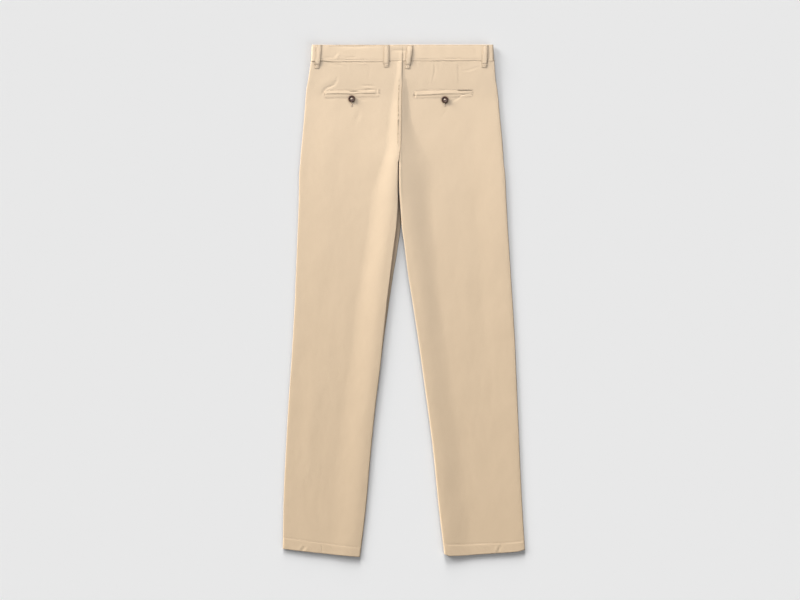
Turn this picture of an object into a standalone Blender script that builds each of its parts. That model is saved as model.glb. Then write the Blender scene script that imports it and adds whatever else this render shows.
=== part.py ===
"""Chino trousers laid flat, face down. Blender 4.5, +Z up.

The waist points to +Y and the back of the trousers looks up, to +Z. The fronts lie on the ground,
z = 0. Left and right are the wearer's, so the left leg is on the -X side. Every size below is in
millimetres, and point() turns a place into metres. "Down" is the distance below the waist's top
edge. A panel's section runs from its outer edge, at the side seam, to its inner edge, at the
centre seam above the crotch and at the inseam below it.
"""

import math
from bisect import bisect_right
from collections import namedtuple

import bmesh
import bpy
from mathutils import Vector
from mathutils.bvhtree import BVHTree

# Driving dimensions.
LENGTH = 1075.0  # waist's top edge to the lowest point of the hems
CLOTH = 1.0  # wall of a leg panel
GAP = 0.3  # between neighbouring pieces
SLACK = 0.15  # more room where two faceted faces lie on each other
RIM = 0.6  # square stretch at a panel's edge, so that two edges meet face to face

BAND_DEPTH = 35.4  # waistband, along Y
BAND_WALL = 1.8  # two layers and their interlining
BAND_TOP = 10.0  # outer face of the waistband's back
BAND_REST = 3.2  # outer face of the waistband's front, over the loops and the button
BAND_OVERLAP = 22.0  # the left front end passes the centre by this much
BAND_UNDERLAP = 26.0  # the right front end runs over the left one by this much
BAND_CLEAR = 3.0  # past the left end the right one comes down over BAND_RAMP
BAND_RAMP = 20.0
BAND_LEFT_END = -194.6
BAND_RIGHT_END = 186.6
BAND_RUN = 5  # steps along each straight run, and round each side
BAND_BEND = 8
PANEL_START = 35.8  # top edge of the leg panels
HEM_START = 1058.0  # where the hems' lowest edges begin
HEM_TURN = 21.0  # depth of the hem's turn-up
HEM_WALL = 0.8
HEM_CLEAR = 5.0  # room at the leg's two edges
HEM_SET_BACK = 0.4  # the turn-up ends this far inside the leg

SEAT_END = 244.0  # the centre seam stops here and the inseams start
SIDE_ROUND = 12.0  # back panel's rounding at the side seam
SIDE_RISE = 1.2  # the leg's edge stands over its middle by this much
SIDE_SPREAD = 80.0
MID_PANEL = 150.0  # far enough from a side seam to be out of its rounding
FRONT_SIDE_ROUND = 4.0
FRONT_INNER_ROUND = 5.0
INSEAM_HEIGHT = 2.6  # over the lifted front panel
INSEAM_ROLL = 2.0
TIGHT_SHARE = 0.65  # of an inseam's rise that its tight roll takes
CROTCH_PART = 0.7  # the inseams part by this much more where the four panels meet
CROTCH_FADE = 34.0
LIFT_SPREAD = 60.0  # width over which a front panel leaves the ground at the inseam
SEAT_LAP = 7.0  # the right back panel runs under the left one at the seat fold
FLY_LAP = 12.0  # the right front panel runs over the left one at the fly
FLY_EDGE = 3.0  # the left front panel's fly edge passes the centre seam
FLY_CLEAR = 1.5  # past the left fly edge the right panel comes down over FLY_RAMP
FLY_RAMP = 12.0
LAP_FULL = 205.0
LAP_NONE = 234.0

LOOP_WIDTH = 11.5
LOOP_STATIONS = (0.6, 4.0, 10.0, 18.0, 26.0, 33.0, 38.0, 43.0, 47.0)  # down, before its end
LOOP_LAST = 2.0  # no station comes closer to the end
LOOP_TACK = 4.0  # sewn down at each end
LOOP_LEAVES_BAND = 36.9
LOOP_COMES_DOWN = 9.0
LOOP_WALL = 1.6
FRONT_LOOP_WALL = 1.3
JET_DEPTH = 7.0
JET_WALL = 1.0
JET_STEPS = 12
POCKET_BUTTON = 14.0
WAIST_BUTTON = 17.0
BUTTON_THICK = 2.6
BUTTON_STEPS = 18
HOLE_RADIUS = 0.12  # of the button's radius, as is the next
HOLE_SHIFT = 0.25

# Edges of the legs, as x at each distance down.
Outline = namedtuple("Outline", "down left_outer left_inner right_inner right_outer")
OUTLINE = (
    Outline(36, -196.4, -5.5, -5.1, 188.6),
    Outline(72, -202.0, -5.8, -5.4, 191.5),
    Outline(97, -206.2, -6.1, -5.7, 195.4),
    Outline(147, -209.2, -7.0, -6.6, 200.0),
    Outline(197, -213.0, -7.6, -7.2, 205.0),
    Outline(217, -214.8, -8.6, -8.2, 206.5),
    Outline(231, -216.0, -11.2, -10.6, 207.5),
    Outline(244, -216.9, -12.6, -11.7, 208.2),
    Outline(273, -219.3, -13.2, -12.0, 211.4),
    Outline(306, -219.8, -13.6, -11.8, 213.0),
    Outline(323, -220.0, -13.6, -10.4, 213.8),
    Outline(350, -221.0, -14.8, -8.0, 215.2),
    Outline(374, -221.8, -16.8, -6.4, 216.4),
    Outline(424, -223.8, -23.2, 0.3, 219.6),
    Outline(475, -225.9, -29.5, 6.6, 222.8),
    Outline(538, -228.3, -36.4, 16.6, 226.9),
    Outline(601, -231.6, -43.0, 26.2, 230.8),
    Outline(676, -236.2, -50.6, 36.9, 234.2),
    Outline(752, -241.4, -60.0, 47.2, 237.4),
    Outline(852, -246.8, -70.6, 60.4, 241.6),
    Outline(953, -251.4, -80.2, 70.8, 246.4),
    Outline(1058, -253.0, -93.4, 83.6, 253.0),
)

# The long fold beside the centre seam and, further down, along each inseam. It stands "rise" over
# the middle of the leg, "shoulder" in from the edge, and fades out over "width". A shoulder below 0
# starts the fade beyond the edge, so that the cloth falls away at once. The leg's edge rolls over
# "roll".
Fold = namedtuple(
    "Fold",
    "down left_rise left_shoulder left_width left_roll"
    " right_rise right_shoulder right_width right_roll",
)
FOLDS = (
    Fold(36, 1.6, 3, 14, 4, -0.8, -3, 14, 4),
    Fold(60, 3.0, 3, 18, 4, 0.8, -5, 22, 4),
    Fold(90, 4.8, 3, 24, 4, 2.6, -8, 30, 4),
    Fold(128, 6.2, 4, 28, 4, 4.0, -10, 34, 4),
    Fold(176, 6.8, 4, 32, 4, 4.6, -22, 60, 4),
    Fold(223, 7.2, 4, 36, 4, 5.0, -32, 82, 4),
    Fold(273, 7.0, 6, 46, 6, 5.2, -10, 78, 5),
    Fold(323, 7.0, 8, 52, 12, 5.4, 4, 62, 5),
    Fold(424, 7.0, 12, 50, 24, 5.4, 12, 56, 5),
    Fold(538, 6.0, 12, 54, 22, 4.8, 14, 48, 5),
    Fold(676, 5.0, 8, 62, 20, 3.8, 8, 52, 5),
    Fold(852, 4.0, 8, 62, 22, 3.4, 8, 54, 5),
    Fold(1058, 2.8, 8, 56, 24, 3.0, 8, 54, 5),
)

# How far the front panels leave the ground at the crotch and along the inseams.
Lift = namedtuple("Lift", "down left right")
LIFTS = (
    Lift(190, 0.0, 0.0),
    Lift(244, 4.6, 4.0),
    Lift(323, 6.4, 4.2),
    Lift(374, 7.0, 4.2),
    Lift(450, 6.4, 4.0),
    Lift(538, 4.8, 3.0),
    Lift(676, 2.6, 1.5),
    Lift(852, 0.9, 0.6),
    Lift(1058, 0.0, 0.0),
)

# Outer face of the back panels in the middle of the leg.
Height = namedtuple("Height", "down top")
HEIGHTS = (
    Height(36, 9.4),
    Height(72, 8.2),
    Height(115, 6.5),
    Height(200, 6.2),
    Height(300, 5.8),
    Height(500, 5.4),
    Height(1058, 5.6),
)
REST_FADE = 80.0  # the front panels reach the ground this far below the waistband

# How far each hem hangs below HEM_START, from the side seam (0) to the inseam (1).
Hem = namedtuple("Hem", "across left right")
HEMS = (
    Hem(0.0, 0.0, 2.0),
    Hem(0.1, 2.2, 6.0),
    Hem(0.5, 9.5, 11.0),
    Hem(0.93, 16.4, 15.0),
    Hem(1.0, 17.0, 11.0),
)
HEM_BLEND = 300.0

# Rows of the panels: from, to and the number of steps between.
RowZone = namedtuple("RowZone", "start end steps")
ROW_ZONES = (
    RowZone(PANEL_START, 210.0, 7),
    RowZone(210.0, 280.0, 5),
    RowZone(280.0, 560.0, 9),
    RowZone(560.0, HEM_START, 8),
)

# Columns of the panels, as distances in from the two edges. The first two make the square rim.
BACK_OUTER = (0.0, 0.0, 1.2, 4.0, 9.0, 18.0, 34.0)
BACK_INNER = (0.0, 0.0, 1.0, 3.0, 7.0, 12.0, 18.0, 28.0, 42.0, 60.0)
FRONT_OUTER = (0.0, 0.0, 1.0, 4.0, 10.0)
FRONT_INNER = (0.0, 0.0, 1.5, 5.0, 14.0, 18.0, 28.0, 44.0, 60.0)
MIDDLE = (1 / 3, 2 / 3)

# Belt loops: x of the middle at the top and the bottom, the distance down of the bottom, and how
# far the strap stands off.
Loop = namedtuple("Loop", "name top_x bottom_x end bulge front")
LOOPS = (
    Loop("belt_loop_left_side", -179.6, -183.4, 52.0, 1.8, False),
    Loop("belt_loop_back_left", -37.3, -37.3, 49.2, 2.0, False),
    Loop("belt_loop_back_right", 13.1, 7.6, 52.0, 3.0, False),
    Loop("belt_loop_right_side", 170.1, 168.2, 49.2, 2.2, False),
    Loop("belt_loop_front_left", -104.0, -104.0, 49.2, 1.5, True),
    Loop("belt_loop_front_right", 92.0, 92.0, 49.2, 1.5, True),
)

# Jetted back pockets. Mouth is the distance down of the line between the two jets.
Pocket = namedtuple("Pocket", "side from_x to_x from_mouth to_mouth button_x button_down")
POCKETS = (
    Pocket("left", -168.0, -53.4, 103.4, 101.8, -110.9, 115.5),
    Pocket("right", 20.2, 142.2, 104.8, 101.2, 84.8, 117.4),
)
MOUTH = 0.8

# Half of a button's section, down its outer side, as shares of its radius and its thickness.
Spot = namedtuple("Spot", "radius height")
BUTTON_PROFILE = (
    Spot(0.0, 0.64),
    Spot(0.52, 0.64),
    Spot(0.64, 0.94),
    Spot(0.82, 1.0),
    Spot(0.96, 0.8),
    Spot(1.0, 0.5),
    Spot(0.93, 0.14),
    Spot(0.78, 0.0),
    Spot(0.0, 0.0),
)

ZIP_X = -12.0
ZIP_START = 52.0
ZIP_END = 190.0
ZIP_TAPE = 26.0
ZIP_CHAIN = 5.0
ZIP_WALL = 0.4
ZIP_RAISE = 0.5
ZIP_STEPS = 6

COTTON = (0.79, 0.64, 0.47)
BUTTON_BROWN = (0.09, 0.05, 0.035)
ZIP_METAL = (0.55, 0.42, 0.22)

TREES = {}  # outer faces of the panels, for the pieces that lie on them


def point(x, down, z):
    """A place given in millimetres, as a point in metres."""
    return Vector((x, LENGTH / 2 - down, z)) / 1000.0


def smooth(value):
    """0 to 1 with level ends."""
    value = min(max(value, 0.0), 1.0)
    return value * value * (3.0 - 2.0 * value)


def fade(distance, level, width):
    """1 up to level, then down to 0 over width."""
    return 1.0 - smooth((distance - level) / width)


def arc(distance, radius):
    """0 to 1 along a quarter of an ellipse, which starts upright."""
    return math.sqrt(1.0 - (1.0 - min(distance / radius, 1.0)) ** 2)


def rounded(height, edge, distance, radius):
    """The height near a side seam or a lapped edge, on an arc from the edge's own height."""
    return edge + (height - edge) * arc(distance, radius)


def rolled(height, edge, distance, broad):
    """The height near an inseam: a tight roll at the edge and a broad one."""
    share = TIGHT_SHARE * arc(distance, INSEAM_ROLL) + (1 - TIGHT_SHARE) * arc(distance, broad)
    return edge + (height - edge) * share


def between(table, column, at):
    """A column's value at a place in its table, on a smooth curve that never overshoots."""
    keys = [row[0] for row in table]
    values = [getattr(row, column) for row in table]
    last = len(keys) - 1
    if at <= keys[0]:
        return values[0]
    if at >= keys[last]:
        return values[last]

    def slope(i):
        return (values[i + 1] - values[i]) / (keys[i + 1] - keys[i])

    def tangent(i):
        if i in (0, last):
            return slope(min(i, last - 1))
        before, after = slope(i - 1), slope(i)
        return 0.0 if before * after <= 0 else 2 * before * after / (before + after)

    i = bisect_right(keys, at) - 1
    step = keys[i + 1] - keys[i]
    t = (at - keys[i]) / step
    return (
        values[i] * (1 + 2 * t) * (1 - t) ** 2
        + values[i + 1] * t * t * (3 - 2 * t)
        + step * tangent(i) * t * (1 - t) ** 2
        - step * tangent(i + 1) * t * t * (1 - t)
    )


def rest_height(down):
    """Outer face of the front panels: raised at the waistband, then on the ground."""
    return BAND_REST * fade(down, PANEL_START, REST_FADE)


def side_seam(down):
    """Height of the side seam, half way between the front and the back."""
    return (rest_height(down) + between(HEIGHTS, "top", down)) / 2


def inseam(side, down, up):
    """Height of a panel's edge at the inseam: up is 1 for the back and -1 for the front."""
    parted = GAP / 2 + CROTCH_PART * fade(down, SEAT_END, CROTCH_FADE)
    return INSEAM_HEIGHT + between(LIFTS, side, down) + up * parted


def lap_share(down):
    """1 where the panels lap at the centre, 0 from just above the crotch."""
    return min(max((LAP_NONE - down) / (LAP_NONE - LAP_FULL), 0.0), 1.0)


def seat_edge_height(down):
    """The right back panel's face where it goes under the left one."""
    return between(HEIGHTS, "top", down) + between(FOLDS, "right_rise", down)


def back_height(side, down, from_outer, from_inner):
    """Outer face of a back panel."""
    shoulder = between(FOLDS, side + "_shoulder", down)
    width = between(FOLDS, side + "_width", down)
    roll = between(FOLDS, side + "_roll", down)
    rise = between(FOLDS, side + "_rise", down) / fade(0.0, shoulder, width)
    height = between(HEIGHTS, "top", down)
    height += rise * fade(from_inner, shoulder, width)
    height += SIDE_RISE * fade(from_outer, SIDE_ROUND, SIDE_SPREAD)
    height = rounded(height, side_seam(down) + GAP / 2, from_outer, SIDE_ROUND)
    if down > SEAT_END:
        return rolled(height, inseam(side, down, 1), from_inner, roll)
    if side == "left":
        return rounded(height, seat_edge_height(down) + GAP + SLACK, from_inner, roll)
    return height


def front_height(side, down, from_outer, from_inner):
    """Outer face of a front panel, which looks down."""
    height = rest_height(down)
    height += between(LIFTS, side, down) * fade(from_inner, 0.0, LIFT_SPREAD)
    if side == "right" and down <= SEAT_END:
        lapped = (FLY_LAP + FLY_EDGE) * lap_share(down) + FLY_CLEAR
        height += (CLOTH + GAP + SLACK) * fade(from_inner, lapped, FLY_RAMP)
    height = rounded(height, side_seam(down) - GAP / 2, from_outer, FRONT_SIDE_ROUND)
    if down > SEAT_END:
        height = rounded(height, inseam(side, down, -1), from_inner, FRONT_INNER_ROUND)
    return height


def edges(side, down, front):
    """x of a panel's outer and inner edges."""
    outer = between(OUTLINE, side + "_outer", down)
    inner = between(OUTLINE, side + "_inner", down)
    if front:
        inner += lap_share(down) * (FLY_EDGE if side == "left" else -FLY_LAP)
    elif side == "right":
        inner -= SEAT_LAP * lap_share(down)
    return outer, inner


def columns(span, outer_steps, inner_steps):
    """Distances from the outer edge, across a panel of this span."""
    start = outer_steps[-1]
    end = span - inner_steps[-1]
    middle = [start + (end - start) * share for share in MIDDLE]
    return [*outer_steps, *middle, *(span - step for step in reversed(inner_steps))]


def section(side, down, front):
    """Points (x, z, share across) of a panel's outer face, from its outer to its inner edge."""
    outer, inner = edges(side, down, front)
    span = abs(inner - outer)
    inward = 1 if inner > outer else -1
    if front:
        steps = columns(span, FRONT_OUTER, FRONT_INNER)
        height, up = front_height, -1
    else:
        steps = columns(span, BACK_OUTER, BACK_INNER)
        height, up = back_height, 1
    under_left = side == "right" and not front
    lap = SEAT_LAP * lap_share(down) if under_left else 0.0
    # Above the crotch a lapped edge lies flat, and every other edge ends in an upright rim.
    flat_inner = down <= SEAT_END and (front or under_left)
    next_to_inner = len(steps) - 2
    points = []
    for i, step in enumerate(steps):
        if i == next_to_inner and flat_inner:
            step -= RIM
        z = height(side, down, step, max(span - step - lap, 0.0))
        if i == 1 or (i == next_to_inner and not flat_inner):
            z += up * RIM
        points.append((outer + inward * step, z, step / span))
    return tucked(points, down) if lap else points


def tucked(points, down):
    """The right back panel's points, kept under the left panel that laps over them."""
    left_edge = between(OUTLINE, "left_inner", down)
    low = []
    for x, z, across in points:
        if x < left_edge:
            over = back_height("left", down, MID_PANEL, left_edge - x)
            z = min(z, max(over - CLOTH, seat_edge_height(down)) - GAP)
        low.append((x, z, across))
    return low


def hem_drop(side, down, across):
    """How far a row dips towards the hem's slant."""
    return between(HEMS, side, across) * smooth((down - HEM_START + HEM_BLEND) / HEM_BLEND)


def panel_rows():
    """Distances down of the panels' rows."""
    rows = [ROW_ZONES[0].start]
    for zone in ROW_ZONES:
        for i in range(1, zone.steps + 1):
            rows.append(zone.start + (zone.end - zone.start) * i / zone.steps)
    return rows


def material(name, color, roughness, metallic=0.0):
    made = bpy.data.materials.new(name)
    made.use_nodes = True
    shader = made.node_tree.nodes["Principled BSDF"]
    shader.inputs["Base Color"].default_value = (*color, 1.0)
    shader.inputs["Roughness"].default_value = roughness
    shader.inputs["Metallic"].default_value = metallic
    return made


def add_object(name, mesh, collection, finish):
    made = bpy.data.objects.new(name, mesh)
    collection.objects.link(made)
    mesh.materials.append(finish)
    return made


def grid(name, rows, collection, finish, closed=False):
    """An open sheet through rows of points, or a tube where each row closes on itself."""
    bm = bmesh.new()
    made = [[bm.verts.new(place) for place in row] for row in rows]
    count = len(rows[0])
    for upper, lower in zip(made, made[1:]):
        for i in range(count if closed else count - 1):
            j = (i + 1) % count
            bm.faces.new((upper[i], lower[i], lower[j], upper[j]))
    mesh = bpy.data.meshes.new(name)
    bm.to_mesh(mesh)
    bm.free()
    mesh.shade_smooth()
    return add_object(name, mesh, collection, finish)


def face_up(made, up):
    """Turns a sheet's faces to look up, or down."""
    total = sum(face.normal.z * face.area for face in made.data.polygons)
    if (total > 0) != up:
        made.data.flip_normals()


def start_up(made):
    """Turns a folded sheet so that its first face, which is on the back, looks up."""
    if made.data.polygons[0].normal.z < 0:
        made.data.flip_normals()


def solidify(made, wall, offset=-1.0):
    shell = made.modifiers.new("wall", "SOLIDIFY")
    shell.thickness = wall / 1000.0
    shell.offset = offset
    shell.use_even_offset = False
    return made


def leg_panel(side, front, collection, finish):
    """A front or back leg panel, from the waistband to the hem."""
    name = ("front_" if front else "back_") + side
    rows = []
    for down in panel_rows():
        row = [
            point(x, down + hem_drop(side, down, across), z)
            for x, z, across in section(side, down, front)
        ]
        rows.append(row)
    panel = grid(name, rows, collection, finish)
    face_up(panel, not front)
    TREES[name] = BVHTree.FromPolygons(
        [vertex.co for vertex in panel.data.vertices],
        [face.vertices for face in panel.data.polygons],
    )
    return solidify(panel, CLOTH)


def panel_face(panel, x, down):
    """Height of a panel's outer face at a place."""
    up = 1.0 if panel.startswith("back") else -1.0
    start = point(x, max(down, PANEL_START + 1.0), 500.0 * up)
    hit = TREES[panel].ray_cast(start, Vector((0.0, 0.0, -up)))[0]
    return hit.z * 1000.0


def straight(start, stop, z, steps):
    """A level run of (x, z), without its first point."""
    return [(start + (stop - start) * i / steps, z) for i in range(1, steps + 1)]


def band_path(side):
    """Outer face of half the waistband, from the centre back round the side to the front."""
    seam = between(OUTLINE, "left_inner", PANEL_START) + GAP / 2
    sign, end = (-1, BAND_LEFT_END) if side == "left" else (1, BAND_RIGHT_END)
    start = seam + sign * GAP / 2
    radius = (BAND_TOP - BAND_REST) / 2
    bend = end - sign * radius
    path = [(start, BAND_TOP), *straight(start, bend, BAND_TOP, BAND_RUN)]
    for i in range(1, BAND_BEND + 1):
        angle = math.pi * i / BAND_BEND
        x = bend + sign * radius * math.sin(angle)
        path.append((x, BAND_REST + radius * (1 + math.cos(angle))))
    left_stop = seam + BAND_OVERLAP
    if side == "left":
        return path + straight(bend, left_stop, BAND_REST, BAND_RUN)
    # The right end rises and runs over the left one.
    over = BAND_REST + BAND_WALL + GAP
    ramp_start = left_stop + BAND_RAMP
    ramp_end = left_stop + BAND_CLEAR
    path += straight(bend, ramp_start, BAND_REST, BAND_RUN)
    path.append(((ramp_start + ramp_end) / 2, (BAND_REST + over) / 2))
    path += [(ramp_end, over), (left_stop - BAND_UNDERLAP, over)]
    return path


def waistband(side, collection, finish):
    path = band_path(side)
    rows = [[point(x, down, z) for x, z in path] for down in (0.0, BAND_DEPTH / 2, BAND_DEPTH)]
    band = grid("waistband_" + side, rows, collection, finish)
    start_up(band)
    return solidify(band, BAND_WALL)


def belt_loop(loop, collection, finish):
    """A strap sewn down at both ends, standing a little off the waistband between them."""
    side = "left" if loop.top_x < 0 else "right"
    rows = []
    stations = [down for down in LOOP_STATIONS if down < loop.end - LOOP_LAST]
    for down in [*stations, loop.end]:
        share = (down - LOOP_STATIONS[0]) / (loop.end - LOOP_STATIONS[0])
        middle = loop.top_x + (loop.bottom_x - loop.top_x) * share
        free = min(max((down - LOOP_TACK) / (loop.end - 2 * LOOP_TACK), 0.0), 1.0)
        bulge = loop.bulge * math.sin(math.pi * free)
        left, right = middle - LOOP_WIDTH / 2, middle + LOOP_WIDTH / 2
        past = smooth((down - LOOP_LEAVES_BAND) / LOOP_COMES_DOWN)
        if loop.front:
            panel = min(panel_face("front_" + side, x, down) for x in (left, right))
            z = BAND_REST + (panel - BAND_REST) * past - GAP - SLACK * past - bulge
        else:
            panel = max(panel_face("back_" + side, x, down) for x in (left, right))
            z = BAND_TOP + (panel - BAND_TOP) * past + GAP + SLACK * past + bulge
        rows.append([point(left, down, z), point(right, down, z)])
    strap = grid(loop.name, rows, collection, finish)
    face_up(strap, not loop.front)
    return solidify(strap, FRONT_LOOP_WALL if loop.front else LOOP_WALL, offset=1.0)


def jet(pocket, upper, collection, finish):
    """One jet of a back pocket: a narrow strip that lies on the back panel."""
    rows = []
    edge = -MOUTH / 2 - JET_DEPTH if upper else MOUTH / 2
    for across in (edge, edge + JET_DEPTH / 2, edge + JET_DEPTH):
        row = []
        for i in range(JET_STEPS + 1):
            share = i / JET_STEPS
            x = pocket.from_x + (pocket.to_x - pocket.from_x) * share
            down = pocket.from_mouth + (pocket.to_mouth - pocket.from_mouth) * share + across
            seat = panel_face("back_" + pocket.side, x, down) + GAP + SLACK
            row.append(point(x, down, seat))
        rows.append(row)
    which = "upper" if upper else "lower"
    strip = grid(f"pocket_{pocket.side}_{which}_jet", rows, collection, finish)
    face_up(strip, True)
    return solidify(strip, JET_WALL, offset=1.0)


def button_holes(name, place, radius, cutters):
    """The cutter for a button's four holes."""
    bm = bmesh.new()
    for i in range(4):
        angle = math.pi / 4 + math.pi / 2 * i
        hole = bmesh.ops.create_cone(
            bm,
            cap_ends=True,
            segments=8,
            radius1=HOLE_RADIUS * radius,
            radius2=HOLE_RADIUS * radius,
            depth=2 * radius,
        )
        shift = Vector((math.cos(angle), math.sin(angle), 0.0)) * HOLE_SHIFT * radius
        bmesh.ops.translate(bm, verts=hole["verts"], vec=shift)
    mesh = bpy.data.meshes.new(name)
    bm.to_mesh(mesh)
    bm.free()
    cutter = bpy.data.objects.new(name, mesh)
    cutters.objects.link(cutter)
    cutter.location = place
    cutter.hide_render = True
    cutter.display_type = "WIRE"
    return cutter


def button(name, place, diameter, facing, collection, cutters, finish):
    """A four-hole button with a raised rim, turned about its axis. facing is 1 up or -1 down."""
    radius = diameter / 2000.0
    thick = BUTTON_THICK / 1000.0
    places = [(spot.radius * radius, 0.0, spot.height * thick) for spot in BUTTON_PROFILE]
    mesh = bpy.data.meshes.new(name)
    mesh.from_pydata(places, [(i, i + 1) for i in range(len(places) - 1)], [])
    made = add_object(name, mesh, collection, finish)
    made.location = place
    made.rotation_euler = (0.0 if facing > 0 else math.pi, 0.0, 0.0)
    turn = made.modifiers.new("turn", "SCREW")
    turn.steps = BUTTON_STEPS
    turn.render_steps = BUTTON_STEPS
    turn.use_merge_vertices = True
    turn.merge_threshold = 0.00001
    holes = made.modifiers.new("holes", "BOOLEAN")
    holes.object = button_holes(name + "_holes", place, radius, cutters)
    holes.operation = "DIFFERENCE"
    return made


def pocket_button(pocket, collection, cutters, finish):
    """The button of a back pocket, which overlaps the lower jet."""
    ground = panel_face("back_" + pocket.side, pocket.button_x, pocket.button_down)
    seat = ground + JET_WALL + 2 * (GAP + SLACK)
    place = point(pocket.button_x, pocket.button_down, seat)
    name = f"pocket_{pocket.side}_button"
    return button(name, place, POCKET_BUTTON, 1, collection, cutters, finish)


def waist_button(collection, cutters, finish):
    """The button under the front of the waistband, face down on the ground."""
    x = between(OUTLINE, "left_inner", PANEL_START) + BAND_OVERLAP / 2
    place = point(x, BAND_DEPTH / 2, BUTTON_THICK)
    return button("waist_button", place, WAIST_BUTTON, -1, collection, cutters, finish)


def zip_strip(collection, finish):
    """The closed zip: its tape, with the chain standing up along the middle."""
    half, chain = ZIP_TAPE / 2, ZIP_CHAIN / 2
    foot = chain + ZIP_RAISE
    profile = [(-half, 0.0), (-foot, 0.0), (-chain, ZIP_RAISE)]
    profile += [(-x, z) for x, z in reversed(profile)]
    rows = []
    for i in range(ZIP_STEPS + 1):
        down = ZIP_START + (ZIP_END - ZIP_START) * i / ZIP_STEPS
        seat = rest_height(down) + 2 * (CLOTH + GAP + SLACK)
        rows.append([point(ZIP_X + x, down, seat + z) for x, z in profile])
    strip = grid("zip", rows, collection, finish)
    face_up(strip, True)
    return solidify(strip, ZIP_WALL, offset=1.0)


def hem_turn_up(side, collection, finish):
    """The hem's inner layer: a flat ring of cloth that follows the leg's inside."""
    inset = CLOTH + GAP + SLACK
    rows = []
    for down in (HEM_START - HEM_TURN, HEM_START - HEM_TURN / 2, HEM_START - HEM_SET_BACK):
        back = section(side, down, front=False)
        front = section(side, down, front=True)
        low = min(back[0][0], back[-1][0]) + HEM_CLEAR
        high = max(back[0][0], back[-1][0]) - HEM_CLEAR
        ring = [(x, z - inset, across) for x, z, across in back if low <= x <= high]
        ring += [(x, z + inset, across) for x, z, across in reversed(front) if low <= x <= high]
        rows.append([point(x, down + hem_drop(side, down, share), z) for x, z, share in ring])
    ring = grid("hem_" + side, rows, collection, finish, closed=True)
    start_up(ring)
    return solidify(ring, HEM_WALL)


def build():
    for old in list(bpy.data.objects):
        bpy.data.objects.remove(old)
    parts = bpy.data.collections.new("chino_trousers")
    cutters = bpy.data.collections.new("cutters")
    bpy.context.scene.collection.children.link(parts)
    bpy.context.scene.collection.children.link(cutters)
    cotton = material("cotton_twill", COTTON, 0.9)
    brown = material("button_brown", BUTTON_BROWN, 0.3)
    metal = material("zip_metal", ZIP_METAL, 0.4, 1.0)

    for side in ("left", "right"):
        leg_panel(side, False, parts, cotton)
        leg_panel(side, True, parts, cotton)
        waistband(side, parts, cotton)
        hem_turn_up(side, parts, cotton)
    for loop in LOOPS:
        belt_loop(loop, parts, cotton)
    for pocket in POCKETS:
        jet(pocket, True, parts, cotton)
        jet(pocket, False, parts, cotton)
        pocket_button(pocket, parts, cutters, brown)
    waist_button(parts, cutters, brown)
    zip_strip(parts, metal)


build()
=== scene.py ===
"""Looks of the chino trousers: cloth with its folds and stitches, buttons, floor, light, camera.

The trousers lie face down, with the waist towards +Y. Left and right are the wearer's, so the left
leg is on the -X side. Sizes are in millimetres, and point() turns a place into metres. "Down" is
the distance below the waist's top edge. A panel's section runs from its outer edge, at the side
seam, to its inner edge, at the centre seam above the crotch and at the inseam below it.
"""

import bisect
import math
from collections import namedtuple

import bmesh
import bpy
import numpy as np
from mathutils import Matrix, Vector, noise
from mathutils.bvhtree import BVHTree


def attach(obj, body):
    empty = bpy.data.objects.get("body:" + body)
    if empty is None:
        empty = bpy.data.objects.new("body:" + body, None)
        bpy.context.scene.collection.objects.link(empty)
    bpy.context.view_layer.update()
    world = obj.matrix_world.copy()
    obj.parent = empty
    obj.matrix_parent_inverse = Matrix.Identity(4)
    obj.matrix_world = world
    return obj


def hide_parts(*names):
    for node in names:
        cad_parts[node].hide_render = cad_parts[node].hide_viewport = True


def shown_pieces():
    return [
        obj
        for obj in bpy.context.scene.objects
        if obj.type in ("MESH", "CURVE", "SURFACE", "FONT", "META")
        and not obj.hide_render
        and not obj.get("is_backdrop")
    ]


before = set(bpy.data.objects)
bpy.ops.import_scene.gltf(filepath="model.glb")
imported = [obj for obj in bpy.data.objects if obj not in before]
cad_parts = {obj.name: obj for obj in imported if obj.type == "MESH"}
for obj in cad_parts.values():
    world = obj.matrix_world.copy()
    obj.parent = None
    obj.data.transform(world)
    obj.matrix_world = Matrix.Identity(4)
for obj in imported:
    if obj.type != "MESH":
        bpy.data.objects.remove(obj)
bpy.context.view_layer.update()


def table(columns, *rows):
    """Rows with named columns."""
    kind = namedtuple("Row", columns)
    return [kind(*row) for row in rows]


LENGTH = 1075.0  # waist's top edge to the lowest point of the hems
CLOTH = 0.9  # wall of a leg panel
BAND_DEPTH = 35.4
BAND_WALL = 1.8
BAND_TOP = 10.0
BAND_REST = 3.2
THREAD_LOW = 0.4  # the lowest that a stitch under the front lies
BAND_OVERLAP = 22.0
BAND_UNDERLAP = 26.0
BAND_LEFT_END = -194.6
BAND_RIGHT_END = 186.6
PANEL_START = 34.6  # the front panels' top edges, tucked under the waistband
PANEL_TUCK = 31.6  # the back panels' top edges
# How deep the panels dive under the waistband, and over what distance. A back panel's dive starts
# to ease off BACK_DIVE_ABOVE the waistband's lower edge.
FRONT_DIVE = 1.9
FRONT_DIVE_OVER = 3.4
BACK_DIVE = 1.7
BACK_DIVE_OVER = 4.4
BACK_DIVE_ABOVE = 3.0
HEM_START = 1058.0  # the last row, before the hems' slant is added
HEM_TURN = 20.0  # the turn-up's least height
HEM_EXTRA = 4.5  # how much higher it is at one side
HEM_BLEND = 300.0  # over which the hems' slant comes in
HEM_ROUND = 1.6
HEM_ROLL = 0.7
HEM_GROOVE = 0.35
HEM_GROOVE_WIDTH = 1.3
HEM_PLUMP = 0.3
ROPE_LEAN = 0.9
SEAT_END = 244.0  # the crotch
SIDE_ROUND = 8.0
SIDE_TIGHT = 1.0
SIDE_SHARE = 0.80  # of the rise at the side seam that the tight roll takes
SIDE_SPREAD = 60.0
SIDE_LOW = 0.42  # the side seam's height between the front's face and the back's
MID_PANEL = 150.0
FRONT_SIDE_ROUND = 4.0
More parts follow.
